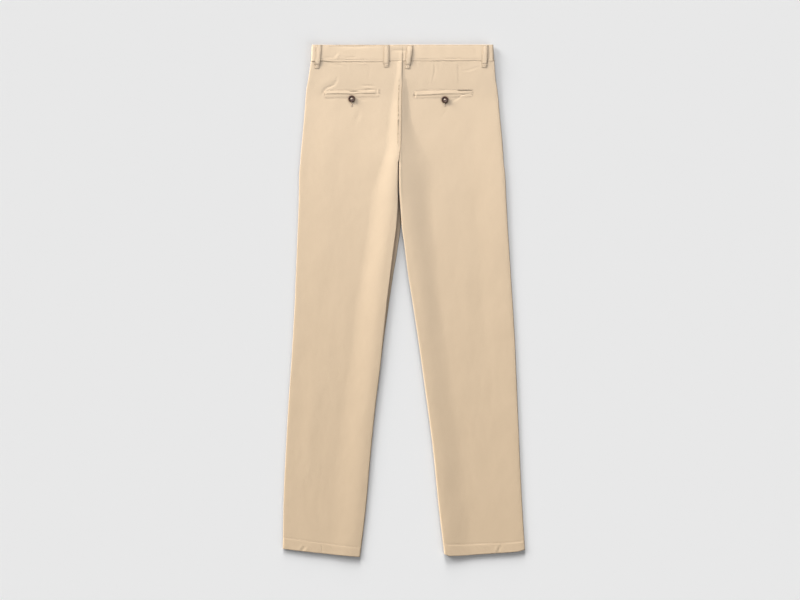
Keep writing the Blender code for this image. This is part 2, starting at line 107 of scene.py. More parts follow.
FRONT_INNER_ROUND = 5.0
INSEAM_HEIGHT = 2.6
INSEAM_ROLL = 1.6
TIGHT_SHARE = 0.65  # of an inseam's rise that its tight roll takes
LIFT_SPREAD = 60.0
SEAT_LAP = 7.0
FLY_LAP = 12.0
FLY_EDGE = 3.0
FLY_CLEAR = 1.5
FLY_RAMP = 12.0
LAP_FULL = 205.0
LAP_NONE = 234.0
REST_FADE = 80.0
NEAR = 0.15  # between two layers that lie on each other
RIM = 0.5  # square stretch at a panel's edge
GROUND_GAP = 0.02
RAY_START = 500.0
SLANT_TOP = 138.0  # the slanting pocket edges: x at the waistband
SLANT_END = 190.0  # and how far down they end, at the side seam
SLANT_STEP = 0.6
SLANT_EDGE = 1.2
SEAM_PUCKER = 9.0
WAIST_PUCKER = 39.0
WAIST_SPREAD = 5.0
OUTER_CALM = 3.0  # over which a panel's relief dies away at its edges
INNER_CALM = 2.0
CREASE_END = 0.03
CREASE_TAPER = 0.6

# The cloth's own waves: how high they are, their size across and down, and what is added to a
# piece's seed.
WAVES = {made.kind: made for made in table(
    "kind height across down seed",
    ("broad", 0.22, 34.0, 34.0 / 0.6, 0),
    ("small", 0.09, 11.0, 11.0 / 0.7, 9),
    ("seam", 0.16, 12.5, 5.0, 20),
    ("waist", 0.30, 7.0, 7.0 / 0.3, 30),
    ("rope", 0.22, 5.5, 22.0, 40),
    ("band", 0.22, 16.0, 24.0, 0),
    ("band_small", 0.07, 5.0, 7.0, 0),
)}
PANEL_SEEDS = {"back_left": 1.0, "back_right": 2.0, "front_left": 3.0, "front_right": 4.0}

OUTLINE = table(
    "down left_outer left_inner right_inner right_outer",
    (36, -196.4, -4.2, -3.8, 188.6),
    (72, -202.0, -5.2, -4.8, 191.5),
    (97, -206.2, -6.1, -5.7, 195.4),
    (147, -210.2, -7.0, -6.6, 200.0),
    (197, -214.6, -7.6, -7.2, 205.0),
    (217, -216.5, -8.6, -8.2, 206.5),
    (231, -217.8, -11.1, -10.8, 207.5),
    (244, -218.7, -12.4, -12.1, 208.2),
    (273, -221.1, -12.9, -12.4, 211.4),
    (306, -221.6, -13.6, -11.8, 213.0),
    (323, -221.8, -13.6, -10.4, 213.8),
    (350, -222.8, -14.8, -8.0, 215.2),
    (374, -223.6, -16.8, -6.4, 216.4),
    (424, -225.6, -23.2, 0.3, 219.6),
    (475, -227.7, -29.5, 6.6, 222.8),
    (538, -230.2, -36.4, 16.6, 226.9),
    (601, -233.6, -43.0, 26.2, 230.8),
    (676, -238.2, -50.6, 36.9, 234.2),
    (752, -243.5, -60.0, 47.2, 237.4),
    (852, -249.0, -70.6, 60.4, 241.6),
    (953, -253.7, -80.2, 70.8, 246.4),
    (1058, -255.5, -93.4, 83.6, 253.0),
)

# The long fold beside the centre seam and, further down, along each inseam. It stands "rise" over
# the middle of the leg, "shoulder" in from the edge, and fades out over "width". A shoulder below 0
# starts the fade beyond the edge, so that the cloth falls away at once. The leg's edge rolls over
# "roll". The left panel swells more gently besides, over SWELL_SPREAD.
FOLDS = table(
    "down left_rise left_shoulder left_width left_roll left_swell"
    " right_rise right_shoulder right_width right_roll",
    (36, 0.9, 2, 10, 3, 0.3, 0.0, -1, 8, 3),
    (60, 1.1, 2, 12, 2.5, 0.5, 0.6, -2, 9, 3),
    (78, 1.2, 2, 15, 2.5, 0.6, 1.4, -2, 13, 4),
    (97, 1.3, 2, 18, 2, 0.8, 2.4, -2, 17, 4),
    (128, 1.7, 2, 22, 2, 1.0, 3.6, -3, 22, 4),
    (150, 2.0, 2, 25, 2, 1.3, 4.0, -4, 26, 4),
    (176, 2.3, 2, 27, 2, 1.7, 4.6, -8, 38, 4),
    (202, 2.6, 2, 30, 2.2, 2.2, 5.2, -14, 58, 4),
    (223, 3.0, 2, 30, 2.4, 2.8, 5.8, -20, 78, 4),
    (248, 3.3, 3, 34, 2.6, 3.0, 6.2, -16, 88, 5),
    (273, 3.9, 4, 42, 3.5, 2.6, 6.1, -8, 82, 5),
    (323, 4.6, 8, 52, 12, 1.6, 5.0, 4, 64, 5),
    (424, 4.6, 12, 50, 24, 0.6, 3.8, 12, 56, 5),
    (538, 4.0, 12, 54, 22, 0.4, 3.2, 14, 48, 5),
    (676, 3.4, 8, 62, 24, 0.2, 2.6, 8, 52, 5),
    (852, 2.5, 10, 62, 32, 0.0, 2.4, 8, 54, 5),
    (1058, 1.4, 12, 60, 38, 0.0, 2.2, 8, 54, 5),
)
SWELL_SPREAD = 80.0

# How far the front panels leave the ground at the crotch and along the inseams.
LIFTS = table(
    "down left right",
    (190, 0.0, 0.0),
    (244, 4.6, 4.0),
    (323, 6.4, 4.2),
    (374, 7.0, 4.2),
    (450, 6.4, 4.0),
    (538, 4.8, 3.0),
    (676, 2.6, 1.5),
    (852, 0.9, 0.6),
    (1058, 0.0, 0.0),
)

# How far the front panels' edges lie back under the back panels': the right one's along the
# inseam, the left one's along the side seam. "shown" is how far the left one shows past the back
# one along the inseam instead, low down in its shade.
TUCKS = table(
    "down inner side shown",
    (36, 0.0, 0.0, 0.0),
    (100, 0.0, 2.4, 0.0),
    (244, 0.0, 2.4, 0.0),
    (306, 3.0, 2.4, 0.6),
    (323, 3.6, 2.4, 2.4),
    (350, 5.0, 2.4, 5.8),
    (374, 5.2, 2.4, 9.6),
    (432, 5.4, 2.4, 9.0),
    (485, 5.0, 2.4, 6.6),
    (538, 4.4, 2.4, 4.4),
    (600, 3.9, 2.4, 2.0),
    (660, 3.5, 2.4, 0.0),
    (852, 2.8, 2.4, 0.0),
    (1000, 2.4, 2.4, 0.0),
    (1058, 0.0, 0.0, 0.0),
)
SHOWN_FLAT = 0.6  # the share of it that lies flat
SHOWN_LOW = 0.4
SHOWN_SLOPE = 1.0

# Outer face of the back panels in the middle of the leg.
HEIGHTS = table(
    "down top",
    (36, 9.4),
    (72, 8.0),
    (115, 6.0),
    (200, 5.4),
    (300, 4.8),
    (500, 4.2),
    (1058, 4.3),
)

# How much higher a back panel lies near its side seam than in the middle of the leg.
SIDES = table(
    "down left right",
    (36, -0.6, 0.2),
    (100, -1.5, 0.2),
    (180, -1.5, 0.7),
    (260, -1.0, 1.5),
    (340, -0.8, 1.5),
    (480, -0.6, 0.7),
    (1058, -0.5, 0.3),
)

# How far each hem hangs below HEM_START, from the side seam (0) to the inseam (1).
HEMS = table(
    "across left right",
    (0.0, 0.0, 2.0),
    (0.1, 2.2, 6.0),
    (0.5, 9.5, 11.0),
    (0.93, 16.4, 15.0),
    (1.0, 17.0, 11.0),
)

# The waistband's lower edge on the back.
BAND_EDGES = table(
    "x down",
    (-200, 35.6),
    (-190, 35.5),
    (-177, 34.0),
    (-160, 35.6),
    (-144, 36.8),
    (-110, 36.4),
    (-80, 36.9),
    (-45, 36.5),
    (-30, 34.8),
    (0, 34.4),
    (64, 34.6),
    (150, 34.4),
    (190, 35.4),
)

# How far the waistband's top edge sags on the back.
BAND_SAGS = table(
    "x sag",
    (-200, 0.0),
    (-168, 0.4),
    (-135, 2.2),
    (-60, 2.4),
    (-30, 1.4),
    (-18, 0.0),
    (190, 0.0),
)

# Rows of the panels: where a zone starts, and the step between its rows.
ROW_ZONES = table(
    "start back_step front_step",
    (PANEL_START, 0.5, 1.0),
    (40.0, 1.5, 3.0),
    (84.0, 1.1, 3.0),
    (124.0, 2.4, 4.0),
    (330.0, 5.0, 7.0),
    (1012.0, 1.6, 4.0),
    (HEM_START - 2.0, 0.4, 0.5),
)
TUCK_STEP = 0.6
# Columns: fine ones in from each edge, from the first step to the last, and wide ones between.
OUTER_FINE = 34.0
INNER_FINE = 60.0
NARROWEST = 150.0
FRONT_STEPS = (0.8, 4.0)
BACK_STEPS = (0.4, 2.0)
MIDDLE_STEP = 0.62  # times the last fine step

SEAM_X = OUTLINE[0].left_inner  # the centre back seam at the waistband
BAND_SEAM = SEAM_X + 0.15  # between the two halves of the waistband
BAND_STEP = 3.0
BAND_GAP = 0.3
BAND_RAMP = (20.0, 3.0)  # from the left half's end, where the right half climbs over it
# The waistband's section as (down, depth into the cloth): its face, its foot, which is thin and
# turned in towards the seam, and its inside.
BAND_FACE = (1.9, 2.4, 2.9, *np.arange(4.0, 33.0, 1.3))
BAND_FOOT = (
    (33.4, 0.03), (34.2, 0.14), (34.8, 0.3), (35.2, 0.5), (35.4, 0.72), (35.3, 0.95),
    (33.4, 1.1), (31.6, 1.6),
)
BAND_INSIDE = (30, 24, 18, 12, 6, 2)
# Where its rows of stitches lie, and the grooves that they draw.
BAND_ROWS = table("down depth width", (2.4, 0.18, 0.7), (30.4, 0.14, 0.8))
OUTSIDE_DEPTH = 0.35
END_MARK = 0.25
# How the waistband's lower edge swings out at the sides.
BAND_FLARES = table("sign start over reach", (-1, 178.0, 14.0, -1.7), (1, 176.0, 8.0, 0.9))

# Ridges and, where height is below 0, troughs in the cloth, each along a path of (x, down).
CREASES = {
    "back_left": table(
        "height width path",
        # Left seat: the fold that runs up from the pocket's end, and its lit side.
        (-0.6, 1.7, ((-174, 106), (-170, 98), (-168.5, 95), (-162, 90), (-156, 88))),
        (-0.5, 2.4, ((-162, 90), (-154, 87.5), (-148, 83.5), (-143, 76), (-141, 66))),
        (0.1, 3.0, ((-166, 100), (-160, 94), (-150, 90.5), (-142, 86))),
        (0.25, 8.0, ((-186, 100), (-174, 84), (-160, 76), (-152, 64))),
        # The left pocket's own puckers.
        (-0.6, 1.4, ((-123, 96), (-112, 98.2), (-100, 98.4), (-92, 99.4), (-88, 102.4))),
        (-0.22, 1.5, ((-139, 99.4), (-133, 98.0), (-126, 97.4))),
        (-0.6, 1.5, ((-83, 94.8), (-73, 94.0), (-63, 93.6))),
        (-0.42, 2.2, ((-90, 85.2), (-77, 86.2), (-62, 87.4))),
        (0.22, 3.0, ((-92, 90.0), (-77, 90.6), (-62, 91.2))),
        (-0.4, 1.5, ((-58.8, 92), (-58.2, 97), (-59.0, 104))),
        (0.15, 2.0, ((-54.0, 92), (-53.0, 97), (-54.0, 104))),
        (-0.22, 2.0, ((-163, 114), (-152, 114.4), (-143, 113))),
        (-0.22, 2.0, ((-134, 113.4), (-126, 114), (-120, 114))),
        (-0.2, 2.0, ((-94, 117), (-86, 116), (-78, 114.4))),
        (-0.26, 4.4, ((-92, 136), (-96, 146), (-100, 156), (-104, 164))),
        (0.1, 4.0, ((-103, 138), (-107, 148), (-111, 160))),
        (-0.45, 1.3, ((-109.2, 127.8), (-109.4, 131.6))),
        (-0.3, 1.3, ((-23.2, 59), (-22.6, 63))),
        # Faint pulls under the waistband.
        (-0.3, 1.8, ((-152, 42.4), (-138, 42.8), (-124, 42.2))),
        (0.3, 1.8, ((-138, 40.4), (-128, 41.2), (-116, 40.6))),
        (0.3, 1.8, ((-98, 40.0), (-88, 40.8), (-78, 40.2))),
        (-0.2, 1.6, ((-119.6, 42), (-119.4, 50), (-119.2, 57))),
        (-0.14, 1.6, ((-72.0, 34), (-73.0, 52), (-75.0, 68), (-76.0, 84))),
        # Knees and shins.
        (-0.2, 14.0, ((-150, 470), (-170, 560), (-172, 640))),
        (0.2, 12.0, ((-118, 520), (-126, 600), (-130, 700))),
        (0.2, 10.0, ((-190, 700), (-196, 800), (-204, 900))),
        # Hems.
        (-0.35, 1.4, ((-172.6, 1039), (-172.6, 1062))),
        (0.3, 2.2, ((-214, 1046), (-224, 1058))),
        (-0.3, 2.2, ((-208, 1047), (-218, 1060))),
        (0.3, 2.2, ((-202, 1048), (-212, 1061))),
    ),
    "back_right": table(
        "height width path",
        # Right seat: the fold that ends at the button, the marks by the side loop.
        (-0.34, 2.0, ((98, 120.6), (109, 113.4), (118, 107.6), (131, 102.6))),
        (0.08, 3.0, ((102, 124), (112, 117.6), (123, 111))),
        (-0.3, 1.4, ((73.6, 94.4), (82, 94.6), (91, 94.6))),
        (-0.25, 1.4, ((32, 94.6), (50, 95.0), (68, 94.8))),
        (-0.7, 1.3, ((111.0, 96.8), (126, 96.6), (142.6, 96.6))),
        (-0.4, 1.3, ((142.6, 98), (143.6, 101), (142.4, 107))),
        (-0.8, 1.4, ((22.2, 101), (21.4, 106), (21.8, 113))),
        (0.18, 1.8, ((26.0, 100), (25.2, 106), (25.4, 112))),
        (-0.25, 1.4, ((31, 100.6), (40, 100.6), (52, 100.6))),
        (-0.5, 1.2, ((84.2, 127), (84.0, 131), (84.4, 134))),
        (-0.3, 1.4, ((89.0, 132), (90.6, 138), (85, 142), (79, 149), (75.6, 158))),
        (-0.2, 2.0, ((118, 55.4), (138, 53), (157, 46))),
        (0.14, 2.4, ((118, 59.6), (138, 57.4), (156, 50.6))),
        # Darts.
        (-0.45, 1.3, ((63.6, 32), (63.0, 52), (61.8, 67), (58.8, 75), (57.8, 82))),
        (0.2, 2.6, ((61.2, 32), (60.6, 52), (59.4, 67), (56.4, 75), (55.4, 82))),
        (-0.45, 1.3, ((112.2, 32), (113.0, 52), (114.0, 68), (114.4, 86))),
        (0.2, 2.6, ((109.8, 32), (110.6, 52), (111.6, 68), (112.0, 84))),
        (-0.3, 1.3, ((52.2, 79), (51.6, 82), (51.0, 85))),
        (0.2, 12.0, ((118, 420), (130, 520), (140, 600))),
        (-0.2, 12.0, ((160, 480), (170, 580), (176, 680))),
        (-0.2, 12.0, ((120, 760), (134, 860), (146, 950))),
        # The edge of the right leg stands up a little where the legs part.
        (0.35, 2.4, ((-7.6, 206), (-8.0, 240), (-7.6, 290), (-4.0, 350))),
        (0.25, 2.4, ((196, 1042), (188, 1058))),
        (-0.25, 2.4, ((204, 1041), (196, 1056))),
    ),
    "band_left": table(
        "height width path",
        (0.4, 2.2, ((-135.0, 17), (-139, 23), (-144, 31))),
        (-0.35, 2.2, ((-141.0, 17), (-146, 24), (-150, 31))),
        (-0.35, 1.4, ((-114.0, 22), (-113.6, 29))),
        (-0.3, 1.4, ((-107.0, 24), (-107.0, 30))),
        (-0.35, 1.6, ((-169, 26.6), (-160, 27.2), (-150, 27.6))),
        (-0.3, 1.4, ((-128, 27.0), (-116, 27.2), (-101, 27.0))),
        (-0.35, 1.4, ((-150, 31.6), (-120, 32.4), (-90, 32.2), (-74, 31.8))),
        (-0.4, 3.2, ((-150, 4.0), (-110, 4.6), (-60, 4.0))),
        (-0.55, 2.6, ((-28, 12.8), (-16, 12.0), (-4, 12.4), (8, 12.6))),
        (-0.4, 2.2, ((-186, 8), (-183, 14), (-184, 20))),
        (0.5, 1.6, ((-7.0, 16), (-6.8, 26), (-7.0, 35))),
    ),
    "band_right": table(
        "height width path",
        (-0.55, 2.6, ((-28, 12.8), (-16, 12.0), (-4, 12.4), (8, 12.6))),
        (-0.9, 1.5, ((-3.4, 16), (-3.4, 26), (-3.4, 38))),
        (-0.35, 4.0, ((148, 8), (150, 16), (151, 24))),
        (-0.4, 1.3, ((80, 29.2), (98, 29.6), (120, 29.4))),
        (-0.4, 1.3, ((22, 31.2), (40, 31.6), (64, 31.4))),
    ),
    "front_left": table(
        "height width path",
        # Hidden from above, so these are few.
        (0.8, 9.0, ((-150, 230), (-100, 260), (-60, 262))),
        (0.6, 10.0, ((-60, 300), (-90, 380), (-110, 470))),
        (0.5, 12.0, ((-150, 560), (-160, 660), (-176, 760))),
    ),
    "front_right": table(
        "height width path",
        (0.8, 9.0, ((150, 225), (100, 252), (54, 258))),
        (0.6, 10.0, ((50, 300), (90, 390), (112, 480))),
        (0.5, 12.0, ((150, 600), (166, 700), (180, 800))),
    ),
}

# Belt loops: x of the middle at the top and the bottom, the distance down of the bottom, and how
# far the strap stands off.
LOOPS = table(
    "name top_x bottom_x end bulge front",
    ("belt_loop_left_side", -179.2, -183.8, 50.2, 0.4, False),
    ("belt_loop_back_left", -38.3, -38.1, 47.6, 0.4, False),
    ("belt_loop_back_right", 11.8, 6.0, 50.6, 1.5, False),
    ("belt_loop_right_side", 169.6, 167.2, 48.2, 0.5, False),
    ("belt_loop_front_left", -104.0, -104.0, 49.2, 1.5, True),
    ("belt_loop_front_right", 92.0, 92.0, 49.2, 1.5, True),
)
LOOP_WIDTH = 11.0
LOOP_START = 0.6
LOOP_FOOT = 7.4  # from a strap's end up to its bar tack
LOOP_TACK = 4.0
LOOP_LEAVES_BAND = 36.9
LOOP_COMES_DOWN = 9.0
LOOP_SEAT = 38.5  # the highest place where a strap is set on its panel
LOOP_NARROWS = 0.12  # the share by which a strap narrows, from LOOP_EVEN of its length on
LOOP_EVEN = 0.7
LOOP_UNEVEN = 0.12
LOOP_BULGE_HIGH = 0.85  # below 1, the bulge is highest above the middle
LOOP_WALL = 0.75
FRONT_LOOP_WALL = 1.05
LOOP_ROWS = 84
LOOP_RIM = 0.45
LOOP_CROWN = 0.18
LOOP_GROOVE = 0.22
LOOP_STITCH = 4.0  # from a strap's middle to its stitches
LOOP_ROUND = 0.8  # over which a strap thins at its ends
LOOP_THIN = 0.6  # the share of its height that is left there
TOP_TACK = 2.8  # the upper bar tack's distance down
TOP_TACK_DEEP = 0.35
FOOT_TACK_DEEP = 0.5
FOOT_DEEP = 0.4  # how much the foot sinks below its tack
TACK_HALF = 4.4
TACK_SWING = 0.55

# Jetted back pockets. Mouth is the distance down of the line between the two jets.
POCKETS = table(
    "side from_x to_x from_mouth to_mouth button_x button_down",
    ("left", -168.0, -53.4, 103.4, 101.8, -110.9, 113.6),
    ("right", 20.2, 142.2, 104.8, 101.2, 84.6, 115.4),
)
JET_DEPTH = 7.0
MOUTH = 0.8
BOX_MARGIN = 0.9  # from the jets to the box of stitches round them
JET_ROWS = 110
JET_STRAY = 0.12  # how far its line wanders
JET_UNEVEN = 0.25  # the share by which its height varies
JET_END = 5.0  # over which it thins at its ends
JET_END_LOW = 0.3  # the share of its height that is left there
UPPER_LIP = 0.8  # how high each jet's lip stands, as a share of JET_PROFILE
LOWER_LIP = 0.15
# A jet's section: distance from the mouth's own edge, and height over the panel.
JET_PROFILE = (
    (0.0, 0.2), (0.0, 0.42), (0.2, 0.7), (0.6, 0.86), (1.3, 0.9), (2.4, 0.8), (3.6, 0.62),
    (4.8, 0.42), (5.8, 0.24), (6.4, 0.14), (7.0, 0.06),
)

# The pockets' mouths: how far the jets gape, how far their line strays downwards, and how high
# the lips stand, as a share of their full height.
GAPES = {
    "left": table(
        "x gape shift lip",
        (-168, 0.1, 0.6, 0.3),
        (-158, 0.7, 0.4, 0.8),
        (-150, 1.5, 0.5, 1.0),
        (-128, 1.3, 0.8, 1.0),
        (-112, 0.7, 1.2, 0.9),
        (-104, 0.1, 0.6, 0.7),
        (-92, 0.3, -0.4, 0.7),
        (-84, 0.9, 0.2, 0.9),
        (-68, 0.8, 0.6, 0.9),
        (-60, 0.2, 0.2, 0.4),
        (-53.4, 0.1, 0.0, 0.2),
    ),
    "right": table(
        "x gape shift lip",
        (20.2, 0.1, 0.8, 0.2),
        (30, 0.5, 1.6, 0.8),
        (48, 1.0, 2.0, 1.0),
        (66, 1.1, 1.6, 1.0),
        (84, 1.1, 0.8, 1.0),
        (98, 0.9, 1.2, 0.9),
        (110, 0.2, 1.4, 0.6),
        (124, 0.1, 0.8, 0.5),
        (142.2, 0.1, 0.0, 0.2),
    ),
}
POCKET_BUTTON = 14.0
WAIST_BUTTON = 17.0
BUTTON_THICK = 2.6
# A button's section: share of its radius, and height.
BUTTON_PROFILE = (
    (0.0, 1.55), (0.30, 1.56), (0.46, 1.62), (0.55, 1.8), (0.62, 2.15), (0.70, 2.45),
    (0.78, 2.58), (0.86, 2.55), (0.93, 2.3), (0.98, 1.85), (1.0, 1.35), (0.97, 0.8),
    (0.9, 0.35), (0.8, 0.08), (0.6, 0.0), (0.0, 0.0),
)
SHANK = 1.5
HOLE_AT = 0.25  # holes: shares of the button's radius
HOLE_RADIUS = 0.11
HOLE_DEPTH = 12.0
# Buttonholes: how far down the pockets' ones start, and how far from the button's middle they run.
SLIT_START = 111.0
SLIT_ASIDE = 0.6
SLIT_PITCH = 0.8
SLIT_BARS = 24
SLIT_ROW = 0.75  # from the slit to the middle of a row of bars, and half a bar's length
SLIT_BAR = 0.65
SLIT_HIGH = 0.35
SLIT_CLEAR = 0.1
THREAD_RADIUS = 0.2
FINE_THREAD = 0.17
BAR_THREAD = 0.3
BUTTON_THREAD = 0.28
HEM_LINE_INSET = 3.0
TURN_UP_INSET = 5.0
TURN_UP_GAP = 0.35
TURN_UP_WALL = 0.8
# The fly's J-shaped seam: its x, how far down it runs straight, and the reach of its turn.
FLY_SEAM_X = -44.0
FLY_STRAIGHT = 150.0
FLY_TURN = (34.0, 50.0)

COTTON = (0.622, 0.466, 0.304)
COTTON_LIGHT = (0.662, 0.500, 0.332)
THREAD = (0.72, 0.57, 0.41)
BUTTON_DARK = (0.032, 0.014, 0.009)
BUTTON_LIGHT = (0.13, 0.065, 0.04)
BRASS = (0.62, 0.45, 0.2)
FLOOR = (0.94, 0.94, 0.94)
TWILL_ANGLE = math.radians(28)
# Painted shade: an ambient-occlusion node turns the cotton's colour dark brown in its hollows, for
# shade that the suns don't give. How far it looks (m), the openness (0 to 1) at which the painted
# shade is full and at which it ends, and its tone.
PAINTED_SHADE_SAMPLES = 12
PAINTED_SHADE_REACH = 0.012
PAINTED_SHADE_DEEP = 0.30
PAINTED_SHADE_NONE = 0.95
PAINTED_SHADE_TONE = (0.10, 0.045, 0.016)

# The closed zip lies over the lapped fronts.
ZIP_X = -12.0
ZIP_START = 52.0
ZIP_END = 190.0
ZIP_HALF = 13.0  # from the middle of the chain to a tape's edge
ZIP_CORD = 0.5  # from the middle of the chain to a tape's beaded edge
ZIP_SEAT = 2.6  # over the front panels' outer face
ZIP_PITCH = 1.8
ZIP_HEAD = 8.0  # the slider's length
ZIP_TAPE = 0.3
ZIP_TOOTH = 0.38
ZIP_BEVEL = 0.00012
BOX_FACES = ((0, 1, 3, 2), (4, 6, 7, 5), (0, 4, 5, 1), (2, 3, 7, 6), (0, 2, 6, 4), (1, 5, 7, 3))

# Studio. Suns light either the floor or the cloth, as their names say, and angles are in degrees.
FLOOR_HALF = 4.0
FLOOR_HEIGHT = -0.0004
WORLD = 0.14
SUNS = table(
    "name energy towards angle",
    ("floor_top", 4.0, (0.084, -0.958, -0.276), 24),
    ("floor_side", 2.42, (0.724, -0.608, -0.326), 26),
    ("floor_fill", 0.85, (-0.75, 0.50, -0.43), 40),
    ("cloth_sky", 0.27, (0.0, 0.0, -1.0), 120),
    ("cloth_top", 1.05, (0.05, -0.94, -0.34), 24),
    ("cloth_key", 6.25, (0.82, -0.50, -0.28), 26),
)
SENSOR = 36.0
LENS = 150.0
VIEW_WIDTH = 1.680  # what the picture's width shows (m)
CAMERA_AT = (-0.00945, 0.0019)


# --- Curves and tables -------------------------------------------------------------------------


def point(x, down, z):
    """A place given in millimetres, as a point in metres."""
    return Vector((x, LENGTH / 2 - down, z)) / 1000.0


def smooth(value):
    """0 to 1 with level ends."""
    value = np.clip(value, 0.0, 1.0)
    return value * value * (3.0 - 2.0 * value)


def fade(distance, level, width):
    """1 up to level, then down to 0 over width."""
    return 1.0 - smooth((distance - level) / width)


def bell(distance, width):
    """1 in the middle, and next to nothing from twice the width on."""
    return np.exp(-((distance / width) ** 2))


def arc(distance, radius):
    """0 to 1 along a quarter of an ellipse, which starts upright."""
    return np.sqrt(1.0 - (1.0 - np.clip(distance / radius, 0.0, 1.0)) ** 2)


def rounded(height, edge, distance, radius):
    return edge + (height - edge) * arc(distance, radius)


def rolled(height, edge, distance, broad):
    """The height near an inseam: a tight roll at the edge and a broad one."""
    share = TIGHT_SHARE * arc(distance, INSEAM_ROLL) + (1 - TIGHT_SHARE) * arc(distance, broad)
    return edge + (height - edge) * share


def half_turn(count):
    """Angles from 0 to pi in equal steps."""
    return [math.pi * i / count for i in range(count + 1)]


def circle(count, start=0.0):
    """Angles of points spaced evenly all round."""
    return [start + 2 * math.pi * i / count for i in range(count)]


def between(rows, column, at):
    """A column's value at places in its table, on a smooth curve that never overshoots."""
    keys = np.array([row[0] for row in rows], dtype=float)
    values = np.array([getattr(row, column) for row in rows], dtype=float)
    step = np.diff(keys)
    slope = np.diff(values) / step
    tangent = np.zeros(len(keys))
    tangent[0], tangent[-1] = slope[0], slope[-1]
    before, after = slope[:-1], slope[1:]
    same = before * after > 0
    tangent[1:-1][same] = 2 * before[same] * after[same] / (before[same] + after[same])
    at = np.clip(np.asarray(at, dtype=float), keys[0], keys[-1])
    i = np.clip(np.searchsorted(keys, at, side="right") - 1, 0, len(keys) - 2)
    t = (at - keys[i]) / step[i]
    return (
        values[i] * (1 + 2 * t) * (1 - t) ** 2
        + values[i + 1] * t * t * (3 - 2 * t)
        + step[i] * tangent[i] * t * (1 - t) ** 2
        - step[i] * tangent[i + 1] * t * t * (1 - t)
    )


def wave(kind, x, down, seed):
    """Smooth noise at places in millimetres, as WAVES gives it."""
    made = WAVES[kind]
    places = zip((x / made.across).ravel(), (down / made.down).ravel())
    values = [noise.noise(Vector((a, b, seed + made.seed))) for a, b in places]
    return made.height * np.array(values).reshape(x.shape)


# --- Panels ------------------------------------------------------------------------------------


def rest_height(down):
    """Outer face of the front panels: raised at the waistband, then on the ground."""
    return BAND_REST * fade(down, PANEL_START, REST_FADE)


def side_seam(down):
    """Height of the side seam, between the front and the back."""
    low = rest_height(down)
    return low + (between(HEIGHTS, "top", down) - low) * SIDE_LOW


def inseam(side, down):
    return INSEAM_HEIGHT + between(LIFTS, side, down)


def lap_share(down):
    """1 where the panels lap at the centre, 0 from just above the crotch."""
    return np.clip((LAP_NONE - down) / (LAP_NONE - LAP_FULL), 0.0, 1.0)


def seat_edge_height(down):
    """The right back panel's face where it goes under the left one."""
    return between(HEIGHTS, "top", down) + between(FOLDS, "right_rise", down)


def back_height(side, down, from_outer, from_inner):
    """Outer face of a back panel."""
    rise, shoulder, width, broad = (
        between(FOLDS, f"{side}_{column}", down) for column in ("rise", "shoulder", "width", "roll")
    )
    height = between(HEIGHTS, "top", down)
    height = height + rise / fade(0.0, shoulder, width) * fade(from_inner, shoulder, width)
    if side == "left":
        height = height + between(FOLDS, "left_swell", down) * bell(from_inner, SWELL_SPREAD)
    height = height + between(SIDES, side, down) * fade(from_outer, SIDE_ROUND, SIDE_SPREAD)
    roll = SIDE_SHARE * arc(from_outer, SIDE_TIGHT) + (1 - SIDE_SHARE) * arc(from_outer, SIDE_ROUND)
    height = side_seam(down) + (height - side_seam(down)) * roll
    at_seat = height
    if side == "left":
        at_seat = rounded(height, seat_edge_height(down) + NEAR, from_inner, broad)
    at_leg = rolled(height, inseam(side, down), from_inner, broad)
    return np.where(down > SEAT_END, at_leg, at_seat)


def front_height(side, down, from_outer, from_inner):
    """Outer face of a front panel, which looks down."""
    height = rest_height(down) + between(LIFTS, side, down) * fade(from_inner, 0.0, LIFT_SPREAD)
    if side == "right":
        lapped = (FLY_LAP + FLY_EDGE) * lap_share(down) + FLY_CLEAR
        over = (CLOTH + NEAR) * fade(from_inner, lapped, FLY_RAMP)
        height = height + np.where(down <= SEAT_END, over, 0.0)
    height = rounded(height, side_seam(down), from_outer, FRONT_SIDE_ROUND)
    at_leg = rounded(height, inseam(side, down), from_inner, FRONT_INNER_ROUND)
    if side == "left":
        shown = between(TUCKS, "shown", down)
        slope = (1 - SHOWN_FLAT) * shown + SHOWN_SLOPE
        share = smooth((from_inner - SHOWN_FLAT * shown) / slope)
        at_leg = np.where(shown > 0.0, SHOWN_LOW + (at_leg - SHOWN_LOW) * share, at_leg)
    return np.where(down > SEAT_END, at_leg, height)


def edges(side, down, front):
    """x of a panel's outer and inner edges."""
    outer = between(OUTLINE, side + "_outer", down)
    inner = between(OUTLINE, side + "_inner", down)
    if front and side == "left":
        outer = outer + between(TUCKS, "side", down)
        inner = inner + lap_share(down) * FLY_EDGE + between(TUCKS, "shown", down)
    elif front:
        inner = inner - lap_share(down) * FLY_LAP + between(TUCKS, "inner", down)
    elif side == "right":
        inner = inner - SEAT_LAP * lap_share(down)
    return outer, inner


def spread(stop, first, last):
    """Distances from 0 to stop whose steps grow evenly from first to last."""
    steps = np.linspace(first, last, max(2, round(2 * stop / (first + last))))
    return np.concatenate([[0.0], np.cumsum(steps) * stop / steps.sum()])


def panel_rows(front):
    """Distances down of the panels' rows."""
    rows = [] if front else list(np.arange(PANEL_TUCK, PANEL_START, TUCK_STEP))
    ends = [zone.start for zone in ROW_ZONES[1:]] + [HEM_START]
    for zone, end in zip(ROW_ZONES, ends):
        step = zone.front_step if front else zone.back_step
        count = max(1, round((end - zone.start) / step))
        rows.extend(np.linspace(zone.start, end, count, endpoint=False))
    return np.array([*rows, HEM_START])


